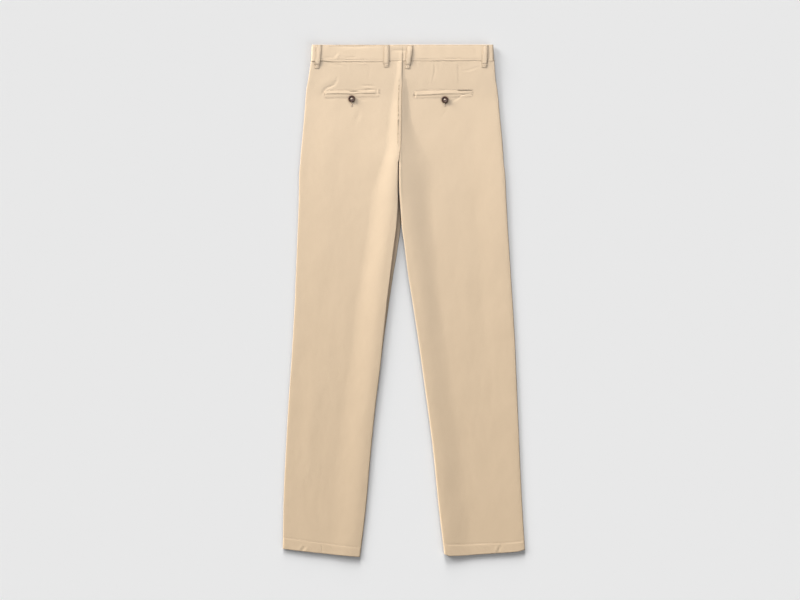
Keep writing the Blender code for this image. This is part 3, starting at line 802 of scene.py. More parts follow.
def panel_columns(span, front):
    """Distances from the outer edge across each row. The first and last two make a square rim."""
    first, last = FRONT_STEPS if front else BACK_STEPS
    outer, inner = (
        np.concatenate([[0.0], spread(fine, first, last)]) for fine in (OUTER_FINE, INNER_FINE)
    )
    count = round((NARROWEST - OUTER_FINE - INNER_FINE) / (last * MIDDLE_STEP))
    share = np.linspace(0.0, 1.0, count + 1)[1:-1]
    width = span[:, None]
    middle = outer[-1] + (width - inner[-1] - outer[-1]) * share
    return np.hstack([np.tile(outer, (len(span), 1)), middle, width - inner[::-1]])


def crease(x, down, made):
    """The height that a crease adds at each place."""
    path = np.array(made.path, dtype=float)
    lengths = np.hypot(*np.diff(path, axis=0).T)
    starts = np.concatenate([[0.0], np.cumsum(lengths)])
    nearest = np.full(x.shape, np.inf)
    along = np.zeros(x.shape)
    for a, b, start, length in zip(path, path[1:], starts, lengths):
        ab = b - a
        t = np.clip(((x - a[0]) * ab[0] + (down - a[1]) * ab[1]) / (ab @ ab), 0.0, 1.0)
        far = np.hypot(x - a[0] - t * ab[0], down - a[1] - t * ab[1])
        along = np.where(far < nearest, start + t * length, along)
        nearest = np.minimum(far, nearest)
    share = np.clip(along / starts[-1], CREASE_END, 1 - CREASE_END)
    return made.height * np.sin(np.pi * share) ** CREASE_TAPER * bell(nearest, made.width)


def relief(name, side, x, down, from_outer, from_inner):
    """What the creases, seams and the cloth's own waves add to a panel's face."""
    seed = PANEL_SEEDS[name]
    added = wave("broad", x, down, seed) + wave("small", x, down, seed)
    for made in CREASES[name]:
        added = added + crease(x, down, made)
    # Seams pucker, and the hem is roped by its turn-up.
    by_seam = sum(fade(distance, 1.0, SEAM_PUCKER) for distance in (from_outer, from_inner))
    added += wave("seam", x, down, seed) * by_seam
    added += wave("waist", x, down, seed) * bell(down - WAIST_PUCKER, WAIST_SPREAD)
    from_hem = HEM_START - down
    turn = hem_turn(side, from_outer / (from_outer + from_inner))
    added -= HEM_GROOVE * bell(from_hem - turn, HEM_GROOVE_WIDTH)
    rope = wave("rope", x + from_hem * ROPE_LEAN, from_hem, seed)
    added += fade(from_hem, turn - 2.0, 3.0) * (HEM_PLUMP + rope)
    # Everything dies away at the edges, so that the panels still meet there.
    added *= np.clip(from_outer / OUTER_CALM, 0.0, 1.0) * np.clip(from_inner / INNER_CALM, 0.0, 1.0)
    # The fronts lie on the ground, so theirs can only rise.
    return np.abs(added) if name.startswith("front") else added


def hem_turn(side, across):
    """Height of the turn-up, from a leg's outer edge at 0 to its inner edge at 1."""
    return HEM_TURN + HEM_EXTRA * (1 - across if side == "left" else across)


def hem_drop(side, down, across):
    """How far a row dips towards the hem's slant."""
    return between(HEMS, side, across) * smooth((down - HEM_START + HEM_BLEND) / HEM_BLEND)


def slant_line(side, share):
    """x and the distance down along a front pocket's slanting edge."""
    sign = -1 if side == "left" else 1
    top, bottom = sign * SLANT_TOP, between(OUTLINE, side + "_outer", SLANT_END)
    return top + (bottom - top) * share, PANEL_START + (SLANT_END - PANEL_START) * share


def slant_pocket(side, x, down):
    """Height of the step at a front pocket's slanting edge."""
    share = np.clip((down - PANEL_START) / (SLANT_END - PANEL_START), 0, 1)
    past = (-1 if side == "left" else 1) * (x - slant_line(side, share)[0])
    return SLANT_STEP * smooth(past / SLANT_EDGE) * fade(down, SLANT_END - 10.0, 10.0)


def band_edge(x):
    """How far down the waistband's lower edge lies on the back."""
    return between(BAND_EDGES, "down", x)


def panel_places(side, front):
    """Arrays x, down and z of a panel's outer face, row by row."""
    name = panel_name(side, front)
    rows = panel_rows(front)
    outer, inner = edges(side, rows, front)
    span = np.abs(inner - outer)
    inward = np.sign(inner - outer)[:, None]
    steps = panel_columns(span, front)
    down = np.repeat(rows[:, None], steps.shape[1], axis=1)
    under_left = side == "right" and not front
    lap = SEAT_LAP * lap_share(rows)[:, None] if under_left else 0.0
    x = outer[:, None] + inward * steps
    height = front_height if front else back_height
    z = height(side, down, steps, np.maximum(span[:, None] - steps - lap, 0.0))
    z = z + relief(name, side, x, down, steps, span[:, None] - steps)
    if front:
        z = z + slant_pocket(side, x, down)
    # Square rims at the edges, as deep as RIM, except where an edge lies flat under another.
    up = -1 if front else 1
    z[:, 1] += up * RIM
    free = (rows > SEAT_END) | (not front and side == "left")
    z[:, -2] += np.where(free, up * RIM, 0.0)
    x[:, -2] -= np.where(free, 0.0, inward[:, 0] * RIM)
    if under_left:
        left_edge = between(OUTLINE, "left_inner", down)
        over = back_height("left", down, MID_PANEL, np.maximum(left_edge - x, 0.0))
        low = np.minimum(z, np.maximum(over - CLOTH, seat_edge_height(down)) - NEAR)
        z = np.where((x < left_edge) & (lap > 0), low, z)
    # The top dives under the waistband, and the bottom rolls into the hem's fold.
    if front:
        dive = FRONT_DIVE * (1.0 - arc(down - PANEL_START, FRONT_DIVE_OVER))
    else:
        dive = BACK_DIVE * fade(down, band_edge(x) - BACK_DIVE_ABOVE, BACK_DIVE_OVER)
    roll = HEM_ROLL * (1.0 - arc(HEM_START - down, HEM_ROUND))
    return x, down + hem_drop(side, down, steps / span[:, None]), z - up * (dive + roll)


# --- Meshes ------------------------------------------------------------------------------------


def linked(name, data):
    """A new object in the scene."""
    made = bpy.data.objects.new(name, data)
    bpy.context.scene.collection.objects.link(made)
    return made


def beside(path, i):
    """The places before and after one in a path, or the place itself at an end."""
    return path[max(i - 1, 0)], path[min(i + 1, len(path) - 1)]


def add_object(name, mesh, finish):
    made = linked(name, mesh)
    mesh.materials.append(finish)
    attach(made, "root")
    return made


def mesh_of(name, places, faces, finish):
    mesh = bpy.data.meshes.new(name)
    mesh.from_pydata([tuple(place) for place in places], [], faces)
    mesh.validate()
    mesh.shade_smooth()
    return add_object(name, mesh, finish)


def grid_faces(rows, columns, closed=False):
    faces = []
    for i in range(rows - 1):
        for j in range(columns if closed else columns - 1):
            k = (j + 1) % columns
            top, low = i * columns, (i + 1) * columns
            faces.append((top + j, low + j, low + k, top + k))
    return faces


def flat_list(rows):
    return [place for row in rows for place in row]


def add_wall(made, wall):
    shell = made.modifiers.new("wall", "SOLIDIFY")
    shell.thickness = wall / 1000.0
    shell.offset = -1.0
    shell.use_even_offset = False


def sheet_of(name, rows, up, wall, finish):
    """A sheet through rows of points, with a wall. up says whether its face looks up."""
    made = mesh_of(name, flat_list(rows), grid_faces(len(rows), len(rows[0])), finish)
    total = sum(face.normal.z * face.area for face in made.data.polygons)
    if (total > 0) != up:
        made.data.flip_normals()
    add_wall(made, wall)
    return made


def tube_of(name, loops, finish):
    """A closed skin through loops of points, with flat ends."""
    count = len(loops[0])
    total = count * len(loops)
    faces = grid_faces(len(loops), count, closed=True)
    faces += [tuple(range(count)), tuple(total - 1 - i for i in range(count))]
    made = mesh_of(name, flat_list(loops), faces, finish)
    bm = bmesh.new()
    bm.from_mesh(made.data)
    bmesh.ops.recalc_face_normals(bm, faces=bm.faces)
    bm.to_mesh(made.data)
    bm.free()
    return made


TREES = {}


def keep_face(name, mesh):
    """Keeps a piece's face, where face_at looks heights up."""
    places = [vertex.co for vertex in mesh.vertices]
    TREES[name] = BVHTree.FromPolygons(places, [face.vertices for face in mesh.polygons])


def face_at(name, x, down):
    """Height of a kept face."""
    up = -1.0 if name.startswith("front") else 1.0
    hit = TREES[name].ray_cast(point(x, down, RAY_START * up), Vector((0.0, 0.0, -up)))[0]
    return hit.z * 1000.0 if hit else 0.0


def panel_name(side, front):
    return ("front_" if front else "back_") + side


def leg_panel(side, front, finish):
    name = panel_name(side, front)
    x, down, z = panel_places(side, front)
    if front:
        z = np.maximum(z, GROUND_GAP)
    places = np.stack([x, LENGTH / 2 - down, z], axis=-1) / 1000.0
    panel = sheet_of("panel_" + name, places, not front, CLOTH, finish)
    keep_face(name, panel.data)
    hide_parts(name)
    return panel


# --- Waistband, loops, pockets -----------------------------------------------------------------


def level(start, stop, z):
    count = max(2, round(abs(stop - start) / BAND_STEP))
    return [(start + (stop - start) * i / count, z) for i in range(count)]


def band_path(side):
    """Outer face of half the waistband as (x, z), from the centre back round to the front."""
    sign, end = (-1, BAND_LEFT_END) if side == "left" else (1, BAND_RIGHT_END)
    radius = (BAND_TOP - BAND_REST) / 2
    bend = end - sign * radius
    path = level(BAND_SEAM + sign * 0.05, bend, BAND_TOP)
    for angle in half_turn(16):
        path.append((
            bend + sign * radius * math.sin(angle), BAND_REST + radius * (1 + math.cos(angle)),
        ))
    stop = BAND_SEAM + BAND_OVERLAP
    if side == "left":
        return [*path, *level(bend, stop, BAND_REST)[1:], (stop, BAND_REST)]
    # The right half climbs over the left half's thickness.
    over = BAND_REST + BAND_WALL + BAND_GAP
    ramp_start, ramp_end = stop + BAND_RAMP[0], stop + BAND_RAMP[1]
    path += level(bend, ramp_start, BAND_REST)[1:]
    for share in np.linspace(0.0, 1.0, 9):
        x = ramp_start + (ramp_end - ramp_start) * share
        path.append((x, BAND_REST + (over - BAND_REST) * smooth(share)))
    stop -= BAND_UNDERLAP
    return [*path, *level(ramp_end, stop, over)[1:], (stop, over)]


def band_section():
    """(down, depth into the cloth) round the waistband's section, from its top fold."""
    half = BAND_WALL / 2
    fold = [(half - half * math.sin(a), half + half * math.cos(a)) for a in half_turn(8)]
    face = [(down, 0.0) for down in BAND_FACE]
    return [*fold, *face, *BAND_FOOT, *((down, BAND_WALL) for down in BAND_INSIDE)]


def ends_marked(path):
    """The path with close points by its two ends, which keep the ends' edges crisp."""
    (x0, z0), (x1, z1) = path[0], path[-1]
    first = (x0 + math.copysign(END_MARK, path[1][0] - x0), z0)
    last = (x1 - math.copysign(END_MARK, x1 - path[-2][0]), z1)
    return [path[0], first, *path[1:-1], last, path[-1]]


def waistband(side, finish):
    """Half the waistband, with its flat size."""
    path = ends_marked(band_path(side))
    turn, seed = (-1, 5.0) if side == "left" else (1, 6.0)
    downs, depths = np.array(band_section()).T
    outside = depths < OUTSIDE_DEPTH
    grooves = sum(row.depth * bell(downs - row.down, row.width) for row in BAND_ROWS)
    share = downs / BAND_DEPTH
    walked = 0.0
    loops = []
    for i, (x, z) in enumerate(path):
        before, after = beside(path, i)
        walked += math.dist(path[i], before)
        along = Vector((after[0] - before[0], after[1] - before[1])).normalized()
        # The outward side is to the path's left on the right half, and to its right on the left.
        out = Vector((-along.y, along.x)) * turn
        at, raised = downs, 0.0
        if z > (BAND_TOP + BAND_REST) / 2:
            at = downs + (band_edge(x) - BAND_DEPTH) * share ** 2
            at = at + between(BAND_SAGS, "sag", x) * (1 - share) ** 2
            across = np.full(len(at), x)
            raised = sum(crease(across, at, made) for made in CREASES["band_" + side])
        around = np.full(len(downs), walked)
        waves = wave("band", around, downs, seed) + wave("band_small", around, downs, seed)
        shift = np.where(outside, waves - grooves + raised, 0.0) - depths
        flare = sum(f.reach * smooth((f.sign * x - f.start) / f.over) for f in BAND_FLARES)
        places = zip(x + flare * share + out.x * shift, at, z + out.y * shift)
        loops.append([point(*place) for place in places])
    band = tube_of("waistband_cloth_" + side, loops, finish)
    keep_face("band_" + side, band.data)
    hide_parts("waistband_" + side)
    return band, (walked / 1000.0, (BAND_DEPTH + BAND_WALL) / 1000.0)


def strap_section(wall):
    """(across, high) round a strap: rounded edges, a crowned face and two stitch grooves."""
    half = LOOP_WIDTH / 2
    edge = [
        (-half + LOOP_RIM - LOOP_RIM * math.sin(a), wall / 2 * (1 - math.cos(a)))
        for a in half_turn(6)
    ]
    face = []
    for across in (-4.4, -LOOP_STITCH, -3.6, -2.0, 0.0, 2.0, 3.6, LOOP_STITCH, 4.4):
        groove = LOOP_GROOVE if abs(across) == LOOP_STITCH else 0.0
        face.append((across, wall + LOOP_CROWN * (1 - (across / half) ** 2) - groove))
    return [*edge, *face, *((-across, high) for across, high in reversed(edge))]


def strap_base(loop, middle, down):
    """Height of what a strap lies on: the waistband and, further down, the panel."""
    panel = panel_name("left" if loop.top_x < 0 else "right", loop.front)
    band, up = (BAND_REST, -1.0) if loop.front else (BAND_TOP, 1.0)
    sides = (middle - LOOP_WIDTH / 2, middle + LOOP_WIDTH / 2)
    seat = up * max(up * face_at(panel, x, max(down, LOOP_SEAT)) for x in sides)
    return band + (seat - band) * smooth((down - LOOP_LEAVES_BAND) / LOOP_COMES_DOWN)


def strap_pressed(loop, down):
    """How far the bar tacks press a strap's face down."""
    from_foot = down - loop.end + LOOP_FOOT
    at_tacks = TOP_TACK_DEEP * bell(down - TOP_TACK, 0.9) + FOOT_TACK_DEEP * bell(from_foot, 1.0)
    return at_tacks + FOOT_DEEP * smooth(from_foot / LOOP_FOOT)


def belt_loop(loop, finish):
    """A strap with a rounded section, two stitch grooves and a turned-under foot."""
    wall, up = (FRONT_LOOP_WALL, -1.0) if loop.front else (LOOP_WALL, 1.0)
    section = strap_section(wall)
    rows, line = [], []
    length = loop.end - LOOP_START
    lean = (loop.bottom_x - loop.top_x) / length
    for down in np.linspace(LOOP_START, loop.end, LOOP_ROWS):
        share = (down - LOOP_START) / length
        middle = loop.top_x + (loop.bottom_x - loop.top_x) * share
        free = np.clip((down - LOOP_TACK) / (loop.end - LOOP_FOOT - LOOP_TACK), 0.0, 1.0)
        bulge = loop.bulge * math.sin(math.pi * free ** LOOP_BULGE_HIGH)
        base = strap_base(loop, middle, down)
        from_end = min(down - LOOP_START, loop.end - down)
        thick = LOOP_THIN + (1 - LOOP_THIN) * math.sqrt(min(from_end / LOOP_ROUND, 1.0))
        narrow = 1.0 - LOOP_NARROWS * smooth((share - LOOP_EVEN) / (1 - LOOP_EVEN))
        row = []
        for across, high in section:
            across *= narrow
            pressed = strap_pressed(loop, down) if high > wall * 0.7 else 0.0
            spot = Vector((across / 3.0, down / 5.0, loop.top_x / 7.0))
            pressed -= LOOP_UNEVEN * noise.noise(spot)
            lift = NEAR + bulge + max((high - pressed) * thick, 0.0)
            # The strap's rows stay square to it, although it leans.
            row.append(point(middle + across, down - across * lean * 0.5, base + up * lift))
        rows.append(row)
        line.append((middle, down, base + up * (NEAR + bulge + wall)))
    strap = tube_of(loop.name + "_strap", rows, finish)
    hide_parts(loop.name)
    return strap, line


def loop_sewing(loop, line, finish):
    """Topstitching along a strap's edges and a bar tack at each end."""
    up = -1.0 if loop.front else 1.0
    places = [(x, down, z + up * 0.1) for x, down, z in line]
    rows = [
        [point(x + shift, down, z) for x, down, z in places]
        for shift in (-LOOP_STITCH, LOOP_STITCH)
    ]
    paths = stitch_paths(rows, up, pitch=2.4, length=1.9, rise=0.1)
    for at, sunk in ((TOP_TACK, 0.3), (loop.end - LOOP_FOOT, 0.6)):
        x, down, z = min(places, key=lambda place: abs(place[1] - at))
        paths.append([
            point(x + across, down + (TACK_SWING if i % 2 else -TACK_SWING), z - up * sunk)
            for i, across in enumerate(np.linspace(-TACK_HALF, TACK_HALF, 15))
        ])
    return strands(loop.name + "_sewing", paths, FINE_THREAD, finish)


def pocket_line(pocket, share):
    x = pocket.from_x + (pocket.to_x - pocket.from_x) * share
    return x, pocket.from_mouth + (pocket.to_mouth - pocket.from_mouth) * share


def row_down(place):
    """The distance down of a point in metres."""
    return LENGTH / 2 - place.y * 1000.0


def jet(pocket, upper, finish):
    """One jet: a strip folded at the mouth and sewn down along its other edge."""
    panel = "back_" + pocket.side
    which, sign, lip_share = ("upper", -1, UPPER_LIP) if upper else ("lower", 1, LOWER_LIP)
    seed = (7.0 if upper else 8.0) + (0.0 if pocket.side == "left" else 2.0)
    rows = []
    for i in range(JET_ROWS + 1):
        x, mouth = pocket_line(pocket, i / JET_ROWS)
        end = min(i, JET_ROWS - i) * (pocket.to_x - pocket.from_x) / JET_ROWS
        gape, shift, lip = (
            between(GAPES[pocket.side], column, x) for column in ("gape", "shift", "lip")
        )
        shift += JET_STRAY * noise.noise(Vector((x / 14, 0.0, seed)))
        row = []
        for away, high in JET_PROFILE:
            near = 1 - away / JET_DEPTH
            down = mouth + sign * (gape / 2 * near + away) + shift * near
            high *= 1 + JET_UNEVEN * noise.noise(Vector((x / 8, away / 5, seed)))
            high *= lip_share * lip * (JET_END_LOW + (1 - JET_END_LOW) * smooth(end / JET_END))
            row.append(point(x, down, face_at(panel, x, down) + 0.05 + high))
        for place in (row[-1], row[0]):
            down = row_down(place)
            row.append(point(x, down, face_at(panel, x, down) + 0.02))
        rows.append(row)
    strip = tube_of(f"jet_{pocket.side}_{which}", rows, finish)
    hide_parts(f"pocket_{pocket.side}_{which}_jet")
    return strip


def turn_up(side, finish):
    """A hem's turn-up, inside its leg."""
    rows = []
    for row_at in np.linspace(HEM_START - HEM_TURN, HEM_START - 0.4, 12):
        ring = []
        for front in (False, True):
            outer, inner = edges(side, row_at, front)
            span = abs(inner - outer)
            steps = np.linspace(TURN_UP_INSET, span - TURN_UP_INSET, 60)
            height = front_height if front else back_height
            z = height(side, np.full(60, row_at), steps, span - steps)
            z = z + (CLOTH + TURN_UP_GAP) * (1 if front else -1)
            x = outer + np.sign(inner - outer) * steps
            down = row_at + hem_drop(side, row_at, steps / span)
            half = [point(*place) for place in zip(x, down, z)]
            ring += half[::-1] if front else half
        rows.append(ring)
    faces = grid_faces(len(rows), len(rows[0]), closed=True)
    made = mesh_of("turn_up_" + side, flat_list(rows), faces, finish)
    if made.data.polygons[0].normal.z < 0:
        made.data.flip_normals()
    add_wall(made, TURN_UP_WALL)
    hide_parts("hem_" + side)
    return made


# --- Buttons -----------------------------------------------------------------------------------


def turned(radius, profile, segments):
    """A mesh turned round Z from (share of the radius, height), top middle to bottom middle."""
    bm = bmesh.new()
    rings = [
        [
            bm.verts.new((share * radius * math.cos(a), share * radius * math.sin(a), high))
            for a in circle(segments)
        ]
        for share, high in profile[1:-1]
    ]
    top, low = (bm.verts.new((0.0, 0.0, high)) for _, high in (profile[0], profile[-1]))
    for i in range(segments):
        j = (i + 1) % segments
        bm.faces.new((top, rings[0][i], rings[0][j]))
        bm.faces.new((low, rings[-1][j], rings[-1][i]))
        for a, b in zip(rings, rings[1:]):
            bm.faces.new((a[i], b[i], b[j], a[j]))
    bmesh.ops.recalc_face_normals(bm, faces=bm.faces)
    return bm


def mesh_from(bm, name):
    mesh = bpy.data.meshes.new(name)
    bm.to_mesh(mesh)
    bm.free()
    return mesh


def drilled(made, spots, radius):
    """Cuts a hole at each spot, and gives the object's new mesh."""
    bm = bmesh.new()
    for spot in spots:
        hole = bmesh.ops.create_cone(
            bm, cap_ends=True, segments=16, radius1=radius, radius2=radius, depth=HOLE_DEPTH,
        )
        bmesh.ops.translate(bm, verts=hole["verts"], vec=spot)
    cutter = linked("holes", mesh_from(bm, "holes"))
    cut = made.modifiers.new("holes", "BOOLEAN")
    cut.object = cutter
    cut.operation = "DIFFERENCE"
    cut.solver = "EXACT"
    bpy.context.view_layer.update()
    whole = made.evaluated_get(bpy.context.evaluated_depsgraph_get())
    mesh = bpy.data.meshes.new_from_object(whole)
    made.modifiers.clear()
    made.data = mesh
    bpy.data.objects.remove(cutter)
    return mesh


def button(name, node_name, place, diameter, facing, finish, thread):
    """A four-hole button with a raised rim and its thread. facing is 1 up or -1 down."""
    radius = diameter / 2
    body = mesh_from(turned(radius, BUTTON_PROFILE, 48), name)
    body.shade_smooth()
    body.set_sharp_from_angle(angle=math.radians(50))
    made = add_object(name, body, finish)
    spots = [
        Vector((math.cos(a), math.sin(a), 0.0)) * HOLE_AT * radius for a in circle(4, math.pi / 4)
    ]
    turn_and_place(drilled(made, spots, HOLE_RADIUS * radius), place, facing)

    # Bars of thread, straight ones and a cross over them, in and out of the holes.
    threads = []
    for a, b in ((0, 3), (1, 2), (0, 2), (1, 3)):
        start, stop = spots[a], spots[b]
        crosses = abs(start.x - stop.x) > 0.1
        over = 0.3 if crosses else 0.0
        heights = (-0.4, 1.6, 1.95 + over, 2.05 + over, 1.95 + over, 1.6, -0.4)
        for shift in (-0.5, 0.0, 0.5):
            off = Vector((0.0, shift, 0.0) if crosses else (shift, 0.0, 0.0))
            path = [start.lerp(stop, share) + off for share in (0.0, 0.0, 0.2, 0.5, 0.8, 1.0, 1.0)]
            threads.append([Vector((p.x, p.y, high)) for p, high in zip(path, heights)])
    sewn_on = strands(name + "_thread", threads, BUTTON_THREAD, thread, scale=1.0)
    turn_and_place(sewn_on.data, place, facing)
    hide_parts(node_name)


def turn_and_place(mesh, place, facing):
    """Moves a mesh in millimetres to its (x, down, z) in the scene."""
    x, down, seat = place
    for vertex in mesh.vertices:
        here = vertex.co
        vertex.co = point(x + here.x, down - facing * here.y, seat + facing * here.z)
    mesh.update()


# --- Stitches ----------------------------------------------------------------------------------


def strands(name, paths, radius, finish, scale=0.001, sides=6):
    """Round strands along paths of points, in one mesh."""
    places, faces = [], []
    for path in paths:
        first = len(places)
        for i, here in enumerate(path):
            before, after = beside(path, i)
            along = (after - before).normalized()
            across = along.cross(Vector((0.0, 0.0, 1.0)))
            if across.length < 0.05:
                across = along.cross(Vector((0.0, 1.0, 0.0)))
            across.normalize()
            upward = across.cross(along)
            size = radius * scale * (0.5 if i in (0, len(path) - 1) else 1.0)
            for a in circle(sides):
                places.append(here + (across * math.cos(a) + upward * math.sin(a)) * size)
        tube = grid_faces(len(path), sides, closed=True)
        faces += [(first + a, first + b, first + c, first + d) for a, b, c, d in tube]
        last = first + (len(path) - 1) * sides
        faces.append(tuple(first + k for k in range(sides)))
        faces.append(tuple(last + sides - 1 - k for k in range(sides)))
    return mesh_of(name, places, faces, finish)


def stitch_paths(lines, up, pitch=3.0, length=2.3, rise=0.16):
    """Short arcs of thread along lines of points in metres. up is 1 on the back and -1 below."""
    paths = []
    for line in lines:
        lengths = [0.0]
        for a, b in zip(line, line[1:]):
            lengths.append(lengths[-1] + (b - a).length * 1000.0)
        for n in range(int(lengths[-1] // pitch)):
            path = []
            for share, high in ((0.0, -0.15), (0.2, 0.6), (0.5, 1.0), (0.8, 0.6), (1.0, -0.15)):
                at = n * pitch + (pitch - length) / 2 + length * share
                i = min(bisect.bisect_right(lengths, at), len(lengths) - 1) - 1
                part = (at - lengths[i]) / max(lengths[i + 1] - lengths[i], 1e-6)
                here = line[i].lerp(line[i + 1], min(max(part, 0.0), 1.0))
                path.append(here + Vector((0.0, 0.0, up * high * rise / 1000.0)))
            paths.append(path)
    return paths


def stitches(name, lines, up, finish, pitch=3.0, radius=THREAD_RADIUS):
    """Rows of stitches along lines of points, clear of the ground."""
    low = THREAD_LOW / 1000.0 if up < 0 else -1.0
    lines = [[Vector((p.x, p.y, max(p.z, low))) for p in line] for line in lines]
    return strands(name, stitch_paths(lines, up, pitch), radius, finish)


def on_panel(name, places):
    """A line over a panel's face, from (x, down) in millimetres."""
    dense = []
    for a, b in zip(places, places[1:]):
        count = max(1, round(math.dist(a, b) / 1.2))
        for i in range(count):
            dense.append((a[0] + (b[0] - a[0]) * i / count, a[1] + (b[1] - a[1]) * i / count))
    return [point(x, down, face_at(name, x, down)) for x, down in [*dense, places[-1]]]


def hem_line(side, front):
    """The stitch line of a hem, along the panel, at the upper edge of its turn-up."""
    outer, inner = edges(side, HEM_START - HEM_TURN, front)
    line = []
    for share in np.linspace(0.0, 1.0, 120):
        x = outer + (inner - outer) * share
        if min(abs(x - outer), abs(x - inner)) >= HEM_LINE_INSET:
            row = HEM_START - hem_turn(side, share)
            line.append((x, row + hem_drop(side, row, share)))
    return on_panel(panel_name(side, front), line)


def band_stitches(side, finish):
    """The rows of stitches along half the waistband's back."""
    sign, end = (-1, BAND_LEFT_END) if side == "left" else (1, BAND_RIGHT_END)
    lines = []
    for row in BAND_ROWS:
        line = []
        for x in np.arange(BAND_SEAM + sign * 2.0, end - sign * 8.0, sign * 1.5):
            down = row.down + (band_edge(x) - BAND_DEPTH) * (row.down / BAND_DEPTH) ** 2
            line.append(point(x, down, face_at("band_" + side, x, down)))
        lines.append(line)
    return stitches("band_stitch_" + side, lines, 1, finish, pitch=2.8, radius=FINE_THREAD)


def pocket_stitches(pocket, finish):
    """A box of stitches round a pocket's jets."""
    name = "back_" + pocket.side
    reach = MOUTH / 2 + JET_DEPTH + BOX_MARGIN
    lines = []
    for away in (-reach, reach):
        along = [pocket_line(pocket, i / 40) for i in range(41)]
        lines.append(on_panel(name, [(x, mouth + away) for x, mouth in along]))
    for share, shift in ((0.0, -1.2), (1.0, 1.2)):
        x, mouth = pocket_line(pocket, share)
        lines.append(on_panel(name, [(x + shift, mouth - reach), (x + shift, mouth + reach)]))
    return stitches("pocket_stitch_" + pocket.side, lines, 1, finish, pitch=2.6)


def buttonhole(name, slit, panel, finish):
    """Two rows of bars along a slit of (x, down): down a back panel, or along the waistband's front
    where panel is None."""
    bars = []
    for x, down in slit:
        for shift in (-SLIT_ROW, SLIT_ROW):
            ground = face_at(panel, x + shift, down) + SLIT_CLEAR if panel else BAND_REST
            bar = []
            for reach, high in ((-SLIT_BAR, 0.0), (0.0, SLIT_HIGH), (SLIT_BAR, 0.0)):
                off = shift + reach
                if panel:
                    bar.append(point(x + off, down, ground + high))
                else:
                    bar.append(point(x, down + off, ground - high))
            bars.append(bar)
    return strands(name, bars, BAR_THREAD, finish)


def fly_curve():
    """The fly's J-shaped seam, from the waistband down and in."""
    turned_in = [
        (FLY_SEAM_X + FLY_TURN[0] * (1 - math.cos(a)), FLY_STRAIGHT + FLY_TURN[1] * math.sin(a))
        for a in np.linspace(0.1, math.pi / 2 - 0.15, 12)
    ]
    return [(FLY_SEAM_X, 40.0), (FLY_SEAM_X, FLY_STRAIGHT), *turned_in]


def front_stitches(side, finish):
    """The stitches of a slanting pocket edge and, on the left, of the fly."""
    inward = 5.0 if side == "left" else -5.0
    slant = [slant_line(side, share) for share in np.linspace(0.05, 0.93, 20)]
    lines = [[(x + inward, down) for x, down in slant]]
    if side == "left":
        lines.insert(0, fly_curve())
    name = panel_name(side, True)
    lines = [on_panel(name, line) for line in lines]
    return stitches("front_stitch_" + side, lines, -1, finish)


# --- Zip ---------------------------------------------------------------------------------------


def zip_seat(down):
    return rest_height(down) + ZIP_SEAT


def zip_tape(sign, finish):
    """One of the zip's two tapes, with its beaded edge beside the chain."""
    rows = []
    for down in np.linspace(ZIP_START, ZIP_END, 40):
        row = []
        for away in np.linspace(ZIP_CORD, ZIP_HALF, 14):
            bead = 0.35 * bell(away - 1.4, 0.9)
            row.append(point(ZIP_X + sign * away, down, zip_seat(down) + ZIP_TAPE + bead))
        rows.append(row)
    name = "zip_tape_" + ("left" if sign < 0 else "right")
    return sheet_of(name, rows, True, ZIP_TAPE, finish)


def boxes(name, sizes, finish):
    """Metal boxes with bevelled edges. sizes are (x, half width, from_down, to_down, low, high)."""
    places, faces = [], []
    for x, half, from_down, to_down, low, high in sizes:
        first = len(places)
        for side in (x - half, x + half):
            for down in (from_down, to_down):
                places += [point(side, down, low), point(side, down, high)]
        faces += [tuple(first + i for i in face) for face in BOX_FACES]
    made = mesh_of(name, places, faces, finish)
    made.data.shade_flat()
    bevel = made.modifiers.new("edges", "BEVEL")
    bevel.width = ZIP_BEVEL
    bevel.segments = 1
    return made


def zip_chain(finish):
    """The chain's teeth, those of one tape between those of the other."""
    teeth = []
    for i in range(int((ZIP_END - ZIP_START - ZIP_HEAD) / ZIP_PITCH)):
        for sign, shift in ((-1, 0.0), (1, ZIP_PITCH / 2)):
            down = ZIP_START + ZIP_HEAD / 2 + i * ZIP_PITCH + shift
            seat = zip_seat(down)
            teeth.append((
                ZIP_X + sign * 0.9, 1.5, down - ZIP_TOOTH, down + ZIP_TOOTH,
                seat + 0.15, seat + 1.15,
            ))
    chain = boxes("zip_chain", teeth, finish)
    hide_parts("zip")


def zip_slider(finish):
    """The slider at the top of the chain, with its pull lying down over the teeth."""
    seat = zip_seat(ZIP_START + ZIP_HEAD / 2)
    sizes = ((3.4, 0.0, 8.0, 1.2, 1.7), (0.9, 1.5, 6.0, 1.7, 2.1), (1.9, 5.6, 20.0, 1.75, 2.15))
    boxes("zip_slider", [
        (ZIP_X, half, ZIP_START + start, ZIP_START + stop, seat + low, seat + high)
        for half, start, stop, low, high in sizes
    ], finish)


# --- Materials ---------------------------------------------------------------------------------


def shader_of(name):
    made = bpy.data.materials.new(name)
    made.use_nodes = True
    return made, made.node_tree, made.node_tree.nodes["Principled BSDF"]


def fill(tree, made, inputs):
    """Sets a node's sockets, each to a value or to the output that feeds it."""
    for key, value in inputs.items():
        if isinstance(value, bpy.types.NodeSocket):
            tree.links.new(value, made.inputs[key])
        else:
            made.inputs[key].default_value = value


def node(tree, kind, inputs, output=0, **settings):
    """Adds a node, and gives one of its outputs."""
    made = tree.nodes.new("ShaderNode" + kind)
    for key, value in settings.items():
        setattr(made, key, value)
    fill(tree, made, inputs)
    return made.outputs[output]


def ramp(tree, factor, colors, starts=(0.0, 1.0)):
    made = tree.nodes.new("ShaderNodeValToRGB")
    for element, color, start in zip(made.color_ramp.elements, colors, starts):
        element.position = start
        element.color = (*color, 1.0)
    fill(tree, made, {"Fac": factor})
    return made.outputs["Color"]


